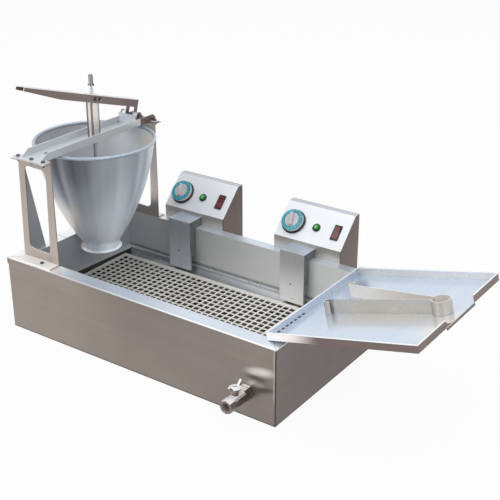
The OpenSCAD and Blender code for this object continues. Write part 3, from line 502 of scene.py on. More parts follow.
@dataclass(frozen=True)
class Tint(Patch):
    """Patch that one or more directions bound.

    Attributes:
        spans: direction, place where the patch begins and place from which it shows fully.
        weight: greatest share of the patch's colour.
    """

    spans: tuple[tuple[Way, float, float], ...]
    weight: float = 1.0

    def share(self, graph: Graph, place: Socket) -> Socket:
        """Share of the patch's colour, which all spans reach together.

        Args:
            graph: the material's graph.
            place: socket with object coordinates.

        Returns:
            The share's socket.
        """
        share: object = self.weight
        for way, start, stop in self.spans:
            share = graph.math("MULTIPLY", graph.along(place, way, start, stop), share)
        return share


@dataclass(frozen=True)
class Spot(Patch):
    """Soft oval patch.

    Attributes:
        middle: its middle.
        reach: its reach along x, y and z.
        weight: greatest share of the patch's colour.
        rise: slope of its long axis, as height over length.
    """

    # Share of the reach within which the patch shows most
    CORE_SHARE = 0.1

    middle: Way
    reach: Way
    weight: float = 1.0
    rise: float = 0.0

    def share(self, graph: Graph, place: Socket) -> Socket:
        """Share of the patch's colour, less and less from its core outwards.

        Args:
            graph: the material's graph.
            place: socket with object coordinates.

        Returns:
            The share's socket.
        """
        fit = graph.put(graph.add("Mapping", vector_type="TEXTURE"), Vector=place, Location=self.middle,
                        Rotation=(0.0, -math.atan(self.rise), 0.0), Scale=self.reach)
        away = graph.add("VectorMath", operation="LENGTH")
        graph.join(fit.outputs[0], away.inputs[0])
        return graph.span(away.outputs["Value"], 1.0, self.CORE_SHARE, 0.0, self.weight, True)


def start_material(name: str) -> tuple[bpy.types.Material, Graph]:
    """Start a material with an empty tree.

    Args:
        name: name of the material.

    Returns:
        The material and its graph.
    """
    made = bpy.data.materials.new(name)
    made.use_nodes = True
    return made, Graph(made.node_tree)


@dataclass(frozen=True)
class Sheet:
    """Brushed stainless sheet: two tones, brush lines, wiping marks and a soft sheen.

    Attributes:
        name: name of the finish.
        dark: darker tone of the sheet.
        light: lighter tone of the sheet.
        roughness: mean roughness.
        grain: direction of the brush lines.
        effects: painted light and shade as slow changes of brightness, and patches of other colours over the
            part.
        metal: share of the metallic sheen.
        density: brush lines per metre.
        clouds: slow clouds per metre.
        bump: strength of the brush lines' relief.
        lines: share of the brush lines in the tone, against the clouds.
        turned: axis of the painted reflection bands of a spun part, if it has them.
        dent: middle of a soft dent in the sheet, if there is one.
    """

    # Share of the brush lines and clouds in the tone of a spun part, beside its painted reflection bands
    SPUN_SHARE = 0.16
    # How far wiping lowers and raises the roughness
    SMUDGE = (0.03, 0.04)
    LINE_DEPTH = 0.0003
    # Radii between which a dent rises, its depth and the strength of its relief
    DENT_REACH = (0.012, 0.06)
    DENT_DEPTH = 0.012
    DENT_STRENGTH = 0.55

    name: str
    dark: str
    light: str
    roughness: float = 0.36
    grain: Grain = Grain.ALONG_X
    effects: tuple[Fade | Patch, ...] = ()
    metal: float = 0.6
    density: float = 700.0
    clouds: float = 2.5
    bump: float = 0.05
    lines: float = 0.5
    turned: Point | None = None
    dent: Way | None = None

    def build(self, shared: SharedEffects) -> bpy.types.Material:
        """Make the material.

        Args:
            shared: the shared node groups.

        Returns:
            The finished material.
        """
        made, graph = start_material(self.name)
        place = graph.add("TexCoord").outputs["Object"]
        stretch = graph.put(graph.add("Mapping"), Vector=place, Scale=self.grain.scale(self.density))
        lines = graph.put(shared.place(graph, shared.grain), Vector=stretch.outputs[0])
        clouds = graph.put(shared.place(graph, shared.drift), Vector=place, Scale=self.clouds)
        mixed = graph.math("ADD", graph.math("MULTIPLY", lines.outputs["Tone"], self.lines),
                           graph.math("MULTIPLY", clouds.outputs["Tone"], 1.0 - self.lines))
        if self.turned:
            faint = graph.math("MULTIPLY", mixed, self.SPUN_SHARE)
            mixed = graph.math("ADD", faint, self._bands(graph, shared, place))
        colour = graph.blend(mixed, tone(self.dark), tone(self.light))
        for effect in self.effects:
            colour = effect.apply(graph, place, colour)
        polish, wear = self.SMUDGE
        rough = graph.span(clouds.outputs["Smudge"], near=self.roughness - polish, far=self.roughness + wear)
        relief = graph.put(graph.add("Bump"), Strength=self.bump, Distance=self.LINE_DEPTH,
                           Height=lines.outputs["Height"])
        if self.dent:
            graph.put(relief, Normal=self._dent(graph, place))
        graph.surface(graph.put(graph.add("BsdfPrincipled"), Base_Color=colour, Metallic=self.metal,
                                Roughness=rough, Normal=relief.outputs[0]))
        return made

    def _bands(self, graph: Graph, shared: SharedEffects, place: Socket) -> Socket:
        """Painted reflection: light and dark bands round the axis of a spun part.

        Args:
            graph: the material's graph.
            shared: the shared node groups.
            place: socket with object coordinates.

        Returns:
            The bands' tone.
        """
        x, y = self.turned
        shift = graph.put(graph.add("Mapping"), Vector=place, Location=(-x, -y, 0.0))
        return graph.put(shared.place(graph, shared.bands), Vector=shift.outputs[0]).outputs["Tone"]

    def _dent(self, graph: Graph, place: Socket) -> Socket:
        """Normal of a soft dent round a pipe that was welded in.

        Args:
            graph: the material's graph.
            place: socket with object coordinates.

        Returns:
            The normal's socket.
        """
        away = graph.add("VectorMath", operation="DISTANCE")
        graph.feed(away.inputs[0], place)
        graph.feed(away.inputs[1], self.dent)
        hollow = graph.span(away.outputs["Value"], *self.DENT_REACH, soft=True)
        return graph.put(graph.add("Bump"), Strength=self.DENT_STRENGTH, Distance=self.DENT_DEPTH,
                         Height=hollow).outputs[0]


@dataclass(frozen=True)
class Moulding:
    """Moulded plastic or glass-like lens with a fine skin.

    Attributes:
        name: name of the finish.
        dark: darker tone.
        light: lighter tone.
        roughness: mean roughness.
        coat: weight of the clear gloss.
        texture: skin grains per metre.
        bump: strength of the skin.
    """

    # Clouds per metre
    CLOUDS = 30.0
    # How far wiping lowers and raises the roughness
    SMUDGE = (0.05, 0.07)
    SKIN_DEPTH = 0.0002
    COAT_ROUGHNESS = 0.08

    name: str
    dark: str
    light: str
    roughness: float = 0.4
    coat: float = 0.0
    texture: float = 900.0
    bump: float = 0.1

    def build(self, shared: SharedEffects) -> bpy.types.Material:
        """Make the material.

        Args:
            shared: the shared node groups.

        Returns:
            The finished material.
        """
        made, graph = start_material(self.name)
        place = graph.add("TexCoord").outputs["Object"]
        clouds = graph.put(shared.place(graph, shared.drift), Vector=place, Scale=self.CLOUDS)
        skin = graph.noise(place, Scale=self.texture, Detail=2.0)
        colour = graph.blend(clouds.outputs["Tone"], tone(self.dark), tone(self.light))
        polish, wear = self.SMUDGE
        rough = graph.span(clouds.outputs["Smudge"], near=self.roughness - polish, far=self.roughness + wear)
        relief = graph.put(graph.add("Bump"), Strength=self.bump, Distance=self.SKIN_DEPTH, Height=skin)
        graph.surface(graph.put(graph.add("BsdfPrincipled"), Base_Color=colour, Roughness=rough,
                                Normal=relief.outputs[0], Coat_Weight=self.coat,
                                Coat_Roughness=self.COAT_ROUGHNESS))
        return made


# Front of the casing, middle of the drain on it, and axis of the hopper
FRONT_Y = -0.199
DRAIN_AT: Way = (0.294, FRONT_Y, 0.0585)
HOPPER_AXIS: Point = (-0.278, 0.016)
# Casing front, painted light and shade: lighter towards the left, painted highlights and painted shade in
# sweeps above and beside the drain where the dent bends the sheet, a painted highlight left of the right
# corner, a dark line along that corner, and painted shade along the bottom edge
FRONT = (
    Fade(X, -0.36, 0.12, 1.12, 0.8),
    Spot("ece9e1", (0.326, FRONT_Y, 0.1115), (0.048, 1.0, 0.015), 1.0, 0.2),
    Spot("544b47", (0.310, FRONT_Y, 0.0955), (0.032, 1.0, 0.008), 0.85, 0.06),
    Spot("d6d2cb", (0.315, FRONT_Y, 0.0815), (0.030, 1.0, 0.010), 1.0, 0.1),
    Spot("4e4642", (0.340, FRONT_Y, 0.0755), (0.034, 1.0, 0.010), 0.8, 0.3),
    Tint("cbc2bd", ((X, 0.3535, 0.3555), (X, 0.3582, 0.3572), (Z, 0.045, 0.07)), 0.45),
    Tint("3e3532", ((X, 0.3578, 0.3588),), 0.9),
    Tint("564b47", ((Z, 0.004, 0.002),), 0.8),
)
# Across the tongs towards the rear, and up from the tray's floor
BEFORE_TONGS: Way = (-0.177, 0.984, 0.0)
TRAY_UP: Way = (-0.2317, 0.0, 0.9728)
# Painted reflection of the tongs in the tray's floor, with a lighter painted reflection beside them
TONGS_REFLECTION = (
    Tint("dcd6ce", ((BEFORE_TONGS, -0.2, -0.13), (BEFORE_TONGS, -0.03, -0.09), (X, 0.37, 0.46),
                    (X, 0.64, 0.55)), 0.75),
    Tint("f6efe6", ((X, 0.57, 0.62), (Y, -0.15, -0.08), (Y, 0.02, -0.04)), 0.7),
)
# Painted shade: the bath's walls darker towards the left
WALL = Fade(X, -0.26, 0.3, 0.66, 1.2)
# Painted shade above and below a painted highlight streak along the bath's lower bend
BEND = (
    Fade(Z, 0.0835, 0.079, 1.0, 0.55),
    Fade(Z, 0.0765, 0.0745, 1.0, 2.4),
    Fade(Z, 0.072, 0.070, 1.0, 0.42),
)
# Where one sheet gets several finishes by the way its faces look or where they lie, these are lit and shaded
# copies of one steel: painted light and painted shade.
FINISHES: tuple[Sheet | Moulding, ...] = (
    # Casing: the front is the lit copy, the end a darker copy as painted shade, with a dark line along the
    # right front corner and painted shade along its bottom edge
    Sheet("casing_front", "857a74", "a99e97", 0.4, Grain.ALONG_X, FRONT, dent=DRAIN_AT),
    Sheet("casing_end", "625753", "7d726e", 0.4, Grain.ALONG_Y,
          (Tint("3a322f", ((Y, -0.1958, -0.1972),)), Tint("3a322f", ((Z, 0.004, 0.002),), 0.8))),
    # Rim top: lighter towards the left as painted light, with a painted highlight along the front edge
    Sheet("rim_top", "c0c9d6", "e2eaf4", 0.34, Grain.ALONG_X,
          (Tint("fafbfc", ((X, -0.19, -0.25),)), Tint("ffffff", ((Y, -0.1945, -0.1965),))), lines=0.7),
    # Level faces and feet of the uprights, painted white as light
    Sheet("frame_lit_faces", "f0f0ee", "ffffff", 0.4, Grain.ALONG_Y, metal=0.1),
    # The hopper's roll, a darker copy of the rims' steel, as painted shade
    Sheet("rim_roll", "98a3b0", "bec9d5", 0.3, Grain.PLAIN, metal=0.4),
    # The rim's left strip, painted white as light
    Sheet("rim_left", "f2f3f5", "ffffff", 0.36, Grain.ALONG_Y, metal=0.35, lines=0.7),
    # Upright edges of the rim and the hopper's lip, painted bright as highlights
    Sheet("rim_edge_highlight", "f2f3f4", "ffffff", 0.3, Grain.ALONG_X, metal=0.2),
    # Bath wall, darker towards the left as painted shade
    Sheet("bath_wall", "d6d9db", "f8f9fa", 0.4, Grain.ALONG_X, (WALL,), 0.5),
    # Left wall of the bath, a darker copy as painted shade
    Sheet("bath_left", "9fa3aa", "c3c7ce", 0.4, Grain.ALONG_Y, metal=0.45),
    # Lower bend of the bath, with the painted shade and highlight streak of the bend
    Sheet("bath_bend", "c2c6ca", "e2e5e8", 0.3, Grain.ALONG_X, (WALL, *BEND), 0.5),
    # Near-black painted shadow along the left wall's foot, put where there is only shade
    Sheet("left_foot_shadow", "060607", "121214", 0.6, Grain.ALONG_Y, metal=0.0),
    # Bath floor, darkened as painted shade
    Sheet("bath_floor", "2c2c2e", "4e4e50", 0.4, Grain.ALONG_X, metal=0.5),
    # Grate, darker towards the left as painted shade
    Sheet("grate_face", "dedbd2", "f8f6f0", 0.4, Grain.ALONG_X, (Fade(X, -0.32, -0.1, 0.8, 1.0),), 0.3),
    # Hopper outside: painted reflection bands round its axis, lighter lower down as painted light, and a
    # painted highlight streak
    Sheet("hopper_skin", "62656e", "ecf5ff", 0.34, Grain.ALONG_Z,
          (Fade(Z, 0.39, 0.18, 0.7, 1.8),
           Tint("fff4e6", (((-0.8, -0.6, 0.0), 0.235, 0.262), (Z, 0.31, 0.25)), 0.6)), 0.3, 500.0,
          turned=HOPPER_AXIS),
    # Hopper inside: darker to the left and lighter to the right as painted shade and painted light, with a
    # painted light patch on the right wall
    Sheet("hopper_inside", "dde4ec", "fbfcfd", 0.36, Grain.ALONG_Z,
          (Fade(RIGHTWARD, -0.31, -0.11, 0.6, 1.1),
           Spot("fff4e4", (-0.205, 0.105, 0.375), (0.09, 0.09, 0.09), 1.0)), 0.2),
    # Uprights: lit and shaded copies of one steel, the front faces a little lighter low down as painted
    # light, the rear upright's faces darker below as painted shade, the edges a darker copy and the gussets a
    # bluer copy, as painted shade
    Sheet("frame_face", "a59a93", "cabeb6", 0.36, Grain.ALONG_Z, (Fade(Z, 0.2, 0.4, 1.1, 0.95),), 0.5),
    Sheet("frame_rear", "cfc4ba", "ece4dc", 0.36, Grain.ALONG_Z, (Fade(Z, 0.228, 0.2, 1.0, 0.48),), 0.5),
    Sheet("frame_edge", "8b7a70", "b3a297", 0.38, Grain.ALONG_Z),
    Sheet("gusset_face", "9da2aa", "bcc2ca", 0.38, Grain.ALONG_Z, metal=0.4),
    # Bridge: a lit top and shaded sides, as painted light and shade, with a dark band at the sides' rear end
    Sheet("bridge_face", "ccd4dc", "e8eef4", 0.36, Grain.ALONG_Y, metal=0.35),
    Sheet("bridge_side", "babec2", "dcdee0", 0.36, Grain.ALONG_Y,
          (Tint("6a5955", ((Y, 0.139, 0.144),)),), 0.4),
    # Lever: a pale top fold as a painted highlight, a pale tip, and darker sides as painted shade
    Sheet("lever_top", "dad8d8", "f8f7f6", 0.32, Grain.ALONG_Y),
    Sheet("lever_side", "685956", "887a77", 0.38, Grain.ALONG_Y),
    # Pivot bracket's front and rear faces, painted white as light
    Sheet("bracket_lit", "e4eaf2", "fcfdfe", 0.3, Grain.ALONG_X, metal=0.3),
    # Plunger tube: darker front and rear faces with a painted highlight stripe, and lighter sides as painted
    # light, darker towards the rear edge
    Sheet("tube_face", "6f675f", "97908a", 0.26, Grain.ALONG_Z,
          (Tint("f4efe8", ((X, -0.284, -0.281), (X, -0.274, -0.277))),), 0.6),
    Sheet("tube_side", "d6d0c8", "f8f4ee", 0.26, Grain.ALONG_Z, (Tint("5d554f", ((Y, 0.02, 0.026),)),), 0.5),
    # Control heads: lit and shaded copies of the housing's steel, the panel and top lit, the lower front
    # darker upwards and the ends darker, as painted light and shade
    Sheet("panel_face", "dce1e7", "f2f5f9", 0.46, Grain.ALONG_X, metal=0.2),
    Sheet("head_top", "a3abb6", "c6cdd6", 0.4, Grain.ALONG_X),
    Sheet("head_low", "a6a29c", "e6e2db", 0.36, Grain.ALONG_X, (Fade(Z, 0.168, 0.2, 1.05, 0.72),), 0.4),
    Sheet("head_side", "564945", "776964", 0.36, Grain.ALONG_Z, (Fade(Z, 0.26, 0.16, 0.86, 1.06),)),
    # Necks: lit and shaded copies by side and by facing, each lighter lower down, as painted light and shade
    Sheet("neck_left", "9ca0a8", "c6cad0", 0.36, Grain.ALONG_Z, (Fade(Z, 0.18, 0.08, 0.84, 1.16),), 0.35),
    Sheet("neck_right", "e2e4e6", "fafafa", 0.36, Grain.ALONG_Z, (Fade(Z, 0.18, 0.085, 0.55, 1.1),), 0.3),
    Sheet("neck_side", "5c5e60", "85878a", 0.36, Grain.ALONG_Z, (Fade(Z, 0.12, 0.085, 1.0, 1.9),), 0.4),
    Sheet("neck_top", "a4b0bd", "c6d1dd", 0.36, Grain.ALONG_X, metal=0.4),
    # Tray floor, with the painted reflection of the tongs
    Sheet("tray_floor", "bcc9dc", "dae6f5", 0.24, Grain.ALONG_Y, TONGS_REFLECTION, bump=0.0),
    # Tray rims: inner faces a lit copy, the low end's inner face a bluer lit copy, outer faces a darker copy
    # with painted shade under the hem and along the foot and painted light at the low end, and edges painted
    # bright as highlights
    Sheet("tray_inner", "cfccc8", "f2efeb", 0.3, Grain.ALONG_X, metal=0.4, bump=0.0),
    Sheet("tray_low", "b4c0d2", "d2dcea", 0.3, Grain.ALONG_Y, metal=0.4, bump=0.0),
    Sheet("tray_outer", "62534f", "82736f", 0.34, Grain.ALONG_X,
          (Tint("3f3431", ((TRAY_UP, 0.1045, 0.1058),), 0.6),
           Tint("3f3431", ((TRAY_UP, 0.0898, 0.0886),), 0.8),
           Tint("fbf7f3", ((X, 0.44, 0.37),))), bump=0.0),
    Sheet("tray_edge", "eef1f4", "ffffff", 0.3, Grain.ALONG_X, metal=0.2, bump=0.0),
    # Tongs: the rear leg's inner face and the edges painted bright as highlights
    Sheet("tongs_strip", "a8a59e", "c8c5be", 0.3, Grain.ALONG_X, metal=0.5, bump=0.0),
    Sheet("tongs_light", "f0e9e0", "fffaf4", 0.3, Grain.ALONG_X, metal=0.2, bump=0.0),
    Sheet("tongs_edge", "efece8", "ffffff", 0.3, Grain.ALONG_X, metal=0.2, bump=0.0),
    # Turned metal; on the dose nut the two alternate round it as painted highlight and painted shade in place
    # of its flutes
    Sheet("bright_turned", "9a9c9f", "dfe1e3", 0.24, Grain.PLAIN, metal=0.8, density=300.0),
    Sheet("dark_turned", "3c3c3e", "737375", 0.34, Grain.PLAIN, metal=0.7, density=300.0),
    # Valve: lit faces above, brown front faces as a painted reflection of the table, lighter and darker sides
    # as painted light and shade, painted shade underneath, and a bore painted lighter than the shade inside
    # it
    *(Sheet(name, dark, light, rough, Grain.PLAIN, metal=metal, density=200.0, clouds=14.0)
      for name, dark, light, rough, metal in (
          ("valve_lit", "fafaf9", "ffffff", 0.2, 0.05), ("valve_light", "b8b6b6", "dcdbdc", 0.2, 0.5),
          ("valve_table_reflection", "746862", "958983", 0.26, 0.5), ("valve_bore", "8f837c", "aea29b", 0.5, 0.0),
          ("valve_dark", "4a3f3b", "6c605b", 0.24, 0.5), ("valve_under_shade", "100e0d", "2b2725", 0.3, 0.4))),
    Sheet("heater_sheath", "4c4a48", "7c7670", 0.42, Grain.PLAIN, density=400.0, clouds=20.0),
    Sheet("copper_bulb", "7a4f35", "b98a68", 0.36, Grain.PLAIN, density=400.0, clouds=20.0),
    Moulding("knob_grey", "b7b7bd", "cfcfd4", 0.4, 0.2),
    Moulding("knob_skirt", "bfb7ae", "d8d2cb", 0.42),
    Moulding("ring_teal", "0a879e", "12a9bf", 0.34, 0.2),
    Moulding("mark_white", "c9e4e8", "e6f4f6", 0.45),
    Moulding("mark_dark", "4a4c50", "6a6c70", 0.5),
    # Dark joint lines, and also a strip of painted shadow at each housing's front end and the painted shade
    # of the screw's slot
    Moulding("seam_and_shadow_dark", "1a1817", "2b2826", 0.6),
    Moulding("moulded_black", "0f1012", "1c1e21", 0.44, 0.1),
    Moulding("moulded_white", "d9d9d5", "ececea", 0.44),
    # Lamp lens: dark green at its edge, green inside, and a painted highlight in the middle
    Moulding("lens_dark", "00300a", "004212", 0.4, 0.1, 250.0, 0.02),
    Moulding("lens_green", "007f22", "009a32", 0.36, 0.1, 250.0, 0.02),
    Moulding("lens_highlight", "54c873", "86e49c", 0.2, 0.5, 250.0, 0.02),
    # Rocker: the upper end a darker copy as painted shade
    Moulding("rocker_dark", "470c11", "5f1319", 0.3, 0.3),
    Moulding("rocker_red", "5b1a1f", "783036", 0.3, 0.4),
)


class Workshop:
    """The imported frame, the finishes, and the common ways of making a piece."""

    def __init__(self) -> None:
        """Load the frame and build every finish."""
        self.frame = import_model()
        self.cad_box = [list(corner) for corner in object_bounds()]
        shared = SharedEffects()
        self.finish = {spec.name: spec.build(shared) for spec in FINISHES}
        self.slots = {part["node"]: part["material_slot"] for part in self.frame["record"]["subparts"]}

    def node(self, name: str) -> bpy.types.Object:
        """Object of a CAD node."""
        return self.frame["nodes"][name]

    def body(self, name: str) -> str:
        """Name of the body that a CAD node rides on."""
        return self.node(name)["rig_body"]

    def dress(self, name: str, finish: str) -> None:
        """Give a CAD node that stays as it is a finish.

        Args:
            name: the CAD node.
            finish: name of the finish.
        """
        slots = self.node(name).data.materials
        slots.clear()
        slots.append(self.finish[finish])
        LOG.info("dressed %s in %s", name, finish)

    def add(self, name: str, mesh: Mesh, finishes: Sequence[str], node: str,
            stands_for: Sequence[str] = (), smooth: float = CREASE) -> bpy.types.Object:
        """Turn a bmesh into a piece that rides with a CAD node's body.

        Args:
            name: name of the piece.
            mesh: the shape, in the row frame; it is freed.
            finishes: finishes in the order of the mesh's material numbers.
            node: CAD node whose body the piece takes.
            stands_for: CAD nodes that the piece replaces.
            smooth: angle in degrees above which an edge stays sharp.

        Returns:
            The new object.
        """
        data = bpy.data.meshes.new(name)
        mesh.to_mesh(data)
        mesh.free()
        for finish in finishes:
            data.materials.append(self.finish[finish])
        data.polygons.foreach_set("use_smooth", [True] * len(data.polygons))
        data.set_sharp_from_angle(angle=math.radians(smooth))
        made = stand(name, data)
        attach(made, self.body(node))
        if stands_for:
            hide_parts(*stands_for)
        LOG.info("made %s: %d faces", name, len(data.polygons))
        return made

    def copy_of(self, name: str) -> Mesh:
        """Merged copy of a CAD node's mesh with its flat faces joined.

        Args:
            name: the CAD node.

        Returns:
            The copy.
        """
        mesh = bmesh.new()
        mesh.from_mesh(self.node(name).data)
        bmesh.ops.remove_doubles(mesh, verts=mesh.verts[:], dist=MERGE)
        bmesh.ops.dissolve_limit(mesh, angle_limit=FLAT, verts=mesh.verts[:], edges=mesh.edges[:])
        return mesh


def bevel(mesh: Mesh, edges: Sequence[bmesh.types.BMEdge], width: float, segments: int = 2) -> None:
    """Round some edges of a shape.

    Args:
        mesh: the shape.
        edges: the edges.
        width: width of the rounding in metres.
        segments: steps across the rounding.
    """
    bmesh.ops.bevel(mesh, geom=edges, offset=width, offset_type="OFFSET", segments=segments, profile=0.5,
                    affect="EDGES", clamp_overlap=True, material=-1)


def lathe(profile: Sequence[Point], steps: int, closed: bool = True) -> Mesh:
    """Spin an outline of radius and height about z.

    Args:
        profile: corners of the outline in metres.
        steps: steps round the turn.
        closed: whether the outline's ends join.

    Returns:
        The turned shape.
    """
    mesh = bmesh.new()
    corners = [mesh.verts.new((r, 0.0, z)) for r, z in profile]
    pairs = list(zip(corners, corners[1:]))
    if closed:
        pairs.append((corners[-1], corners[0]))
    lines = [mesh.edges.new(pair) for pair in pairs]
    bmesh.ops.spin(mesh, geom=corners + lines, cent=(0, 0, 0), axis=(0, 0, 1), dvec=(0, 0, 0),
                   angle=math.tau, steps=steps, use_merge=True, use_duplicate=False)
    bmesh.ops.remove_doubles(mesh, verts=mesh.verts[:], dist=CLOSE)
    bmesh.ops.recalc_face_normals(mesh, faces=mesh.faces[:])
    return mesh


def block(size: Way, at: Way = (0.0, 0.0, 0.0), edge: float = 0.0, segments: int = 2) -> Mesh:
    """Box with rounded edges.

    Args:
        size: lengths along x, y and z in metres.
        at: middle of the box.
        edge: width of the rounding.
        segments: steps across the rounding.

    Returns:
        The box.
    """
    mesh = bmesh.new()
    bmesh.ops.create_cube(mesh, size=1.0)
    bmesh.ops.scale(mesh, vec=Vector(size), verts=mesh.verts[:])
    if edge:
        bevel(mesh, mesh.edges[:], edge, segments)
    bmesh.ops.translate(mesh, vec=Vector(at), verts=mesh.verts[:])
    return mesh


def gather(parts: Iterable[tuple[Mesh, int]]) -> Mesh:
    """Join shapes into one mesh.

    Args:
        parts: shapes with the material number of each; the shapes are freed.

    Returns:
        One mesh that holds them all.
    """
    whole = bmesh.new()
    for part, number in parts:
        for face in part.faces:
            face.material_index = number
        data = bpy.data.meshes.new("part")
        part.to_mesh(data)
        part.free()
        whole.from_mesh(data)
        bpy.data.meshes.remove(data)
    return whole


def move(mesh: Mesh, place: Matrix) -> Mesh:
    """Put a shape in its place and return it."""
    bmesh.ops.transform(mesh, matrix=place, verts=mesh.verts[:])
    return mesh


Sorter = Callable[[Vector, Vector], str]


@dataclass
class Folded:
    """A CAD node of folded sheet that gets rounded folds and a finish for each face.

    Attributes:
        node: name of the CAD node.
        sorter: gives the finish of a face from its middle and its normal, which paints light, shade and
            highlights.
        edge: width of the rounding.
        turn: frame in which the normals are read.
        cuts: planes, as a point and a normal, along which faces are parted first, such as where a painted
            shadow or highlight ends.
        until: greatest x of the faces that are parted.
    """

    # Angle in degrees above which an edge between rounded folds stays sharp
    SMOOTH = 50.0

    node: str
    sorter: Sorter
    edge: Edge = Edge.SHEET
    turn: Matrix = field(default_factory=lambda: Matrix.Identity(3))
    cuts: tuple[tuple[Way, Way], ...] = ()
    until: float = 1.0

    def build(self, shop: Workshop) -> None:
        """Make the piece that stands for the node.

        Args:
            shop: the workshop.
        """
        mesh = shop.copy_of(self.node)
        for point, normal in self.cuts:
            faces = [f for f in mesh.faces if f.calc_center_median().x < self.until]
            edges = {e for f in faces for e in f.edges}
            verts = {v for f in faces for v in f.verts}
            geom = [*verts, *edges, *faces]
            bmesh.ops.bisect_plane(mesh, geom=geom, dist=CLOSE, plane_co=point, plane_no=normal)
        names: list[str] = []
        for face in mesh.faces:
            name = self.sorter(face.calc_center_median(), self.turn @ face.normal)
            if name not in names:
                names.append(name)
            face.material_index = names.index(name)
        folds = [e for e in mesh.edges if len(e.link_faces) == 2 and e.calc_face_angle(0.0) > FOLD]
        bevel(mesh, folds, self.edge.value)
        made = shop.add(self.node + "_sheet", mesh, names, self.node, (self.node,), self.SMOOTH)
        made.modifiers.new("flat_faces", "WEIGHTED_NORMAL").keep_sharp = True


def by_facing(flank: str, end: str, up: str) -> Sorter:
    """Sorter that only looks at the way a face looks, for lit and shaded copies of a finish as painted light
    and shade.

    Args:
        flank: finish of the front and rear faces.
        end: finish of the faces across the length.
        up: finish of the level faces.

    Returns:
        The sorter.
    """
    finish = {Facing.FLANK: flank, Facing.END: end, Facing.UP: up}
    return lambda centre, normal: finish[Facing.of(normal)]


def plain(finish: str) -> Sorter:
    """Sorter that gives every face one finish."""
    return lambda centre, normal: finish


@dataclass
class Tub:
    """Casing, bath tank and grate.

    Attributes:
        rim_z: height of the rim's top.
        rim_h: height of the rim's band.
        left_x: inner face of the bath's left wall.
        right_x: inner face of its right wall.
        front_y: inner face of its front wall.
        rear_y: inner face of its rear wall.
        bend_z: height up to which the bends reach.
        bend_l: length of the bend at the left wall's foot.
        cut_l: length from the left wall within which faces are parted.
        dark_z: height of the painted shadow band at the front end of the left wall's foot.
        dark_slope: fall of that band towards the rear.
        floor_z: height below which a face belongs to the bath's floor, darkened as painted shade.
        lap_y: place of the joint across the rim's left strip.
        joint: gap at the ends, width and height of a joint line.
    """

    # Least share of a normal to the right for a face of the left wall or its bend
    BEND_SHARE = 0.05

    rim_z: float = 0.171
    rim_h: float = 0.003
    left_x: float = -0.330
    right_x: float = 0.327
    front_y: float = -0.164
    rear_y: float = 0.174
    bend_z: float = 0.0825
    bend_l: float = 0.034
    cut_l: float = 0.036
    dark_z: float = 0.079
    dark_slope: float = 0.033
    floor_z: float = 0.0515
    lap_y: float = -0.043
    joint: Way = (0.002, 0.0009, 0.0002)

    def build(self, shop: Workshop) -> None:
        """Make the tub's pieces.

        Args:
            shop: the workshop.
        """
        # The casing's ends take the darker copy as painted shade.
        casing = by_facing("casing_front", "casing_end", "casing_front")
        Folded("outer_casing", casing, Edge.CASING).build(shop)
        # The oblique cut ends the painted shadow band along the left wall's foot.
        oblique = ((self.left_x, self.front_y, self.dark_z), (0.0, self.dark_slope, 1.0))
        Folded("bath_tank", self._tank, cuts=(oblique,), until=self.left_x + self.cut_l).build(shop)
        shop.dress("perforated_grate", "grate_face")
        self._mitres(shop)

    def _tank(self, centre: Vector, normal: Vector) -> str:
        """Finish of a face of the tank: painted light, shade and highlights on the rim, walls and floor.

        Args:
            centre: the face's middle.
            normal: the face's normal.

        Returns:
            Name of the finish.
        """
        if centre.z > self.rim_z - self.rim_h:
            if abs(normal.z) < LEANING:
                return "rim_edge_highlight"
            return "rim_left" if centre.x < self.left_x else "rim_top"
        if centre.x < self.left_x + self.bend_l and normal.x > self.BEND_SHARE:
            # Below this height the left wall's foot is painted near-black as shadow.
            dark = self.dark_z - self.dark_slope * (centre.y - self.front_y)
            return "left_foot_shadow" if centre.z < dark else "bath_left"
        if centre.z < self.floor_z:
            return "bath_floor"
        return "bath_bend" if centre.z < self.bend_z else "bath_wall"

    def _mitres(self, shop: Workshop) -> None:
        """Fine joint lines where the rim's strips meet.

        Args:
            shop: the workshop.
        """
        low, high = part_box("bath_tank")
        gap, width, height = self.joint
        corners = (
            (self.left_x, self.front_y, low.x, low.y), (self.right_x, self.front_y, high.x, low.y),
            (self.right_x, self.rear_y, high.x, high.y), (self.left_x, self.rear_y, low.x, high.y),
            (self.left_x, self.lap_y, low.x, self.lap_y),
        )
        parts = []
        for x0, y0, x1, y1 in corners:
            start, stop = Vector((x0, y0, self.rim_z)), Vector((x1, y1, self.rim_z))
            way = stop - start
            turn = Matrix.Rotation(math.atan2(way.y, way.x), 4, "Z")
            strip = block((way.length - gap, width, height))
            parts.append((move(strip, Matrix.Translation((start + stop) / 2) @ turn), 0))
        shop.add("rim_joint_lines", gather(parts), ("mark_dark",), "bath_tank")


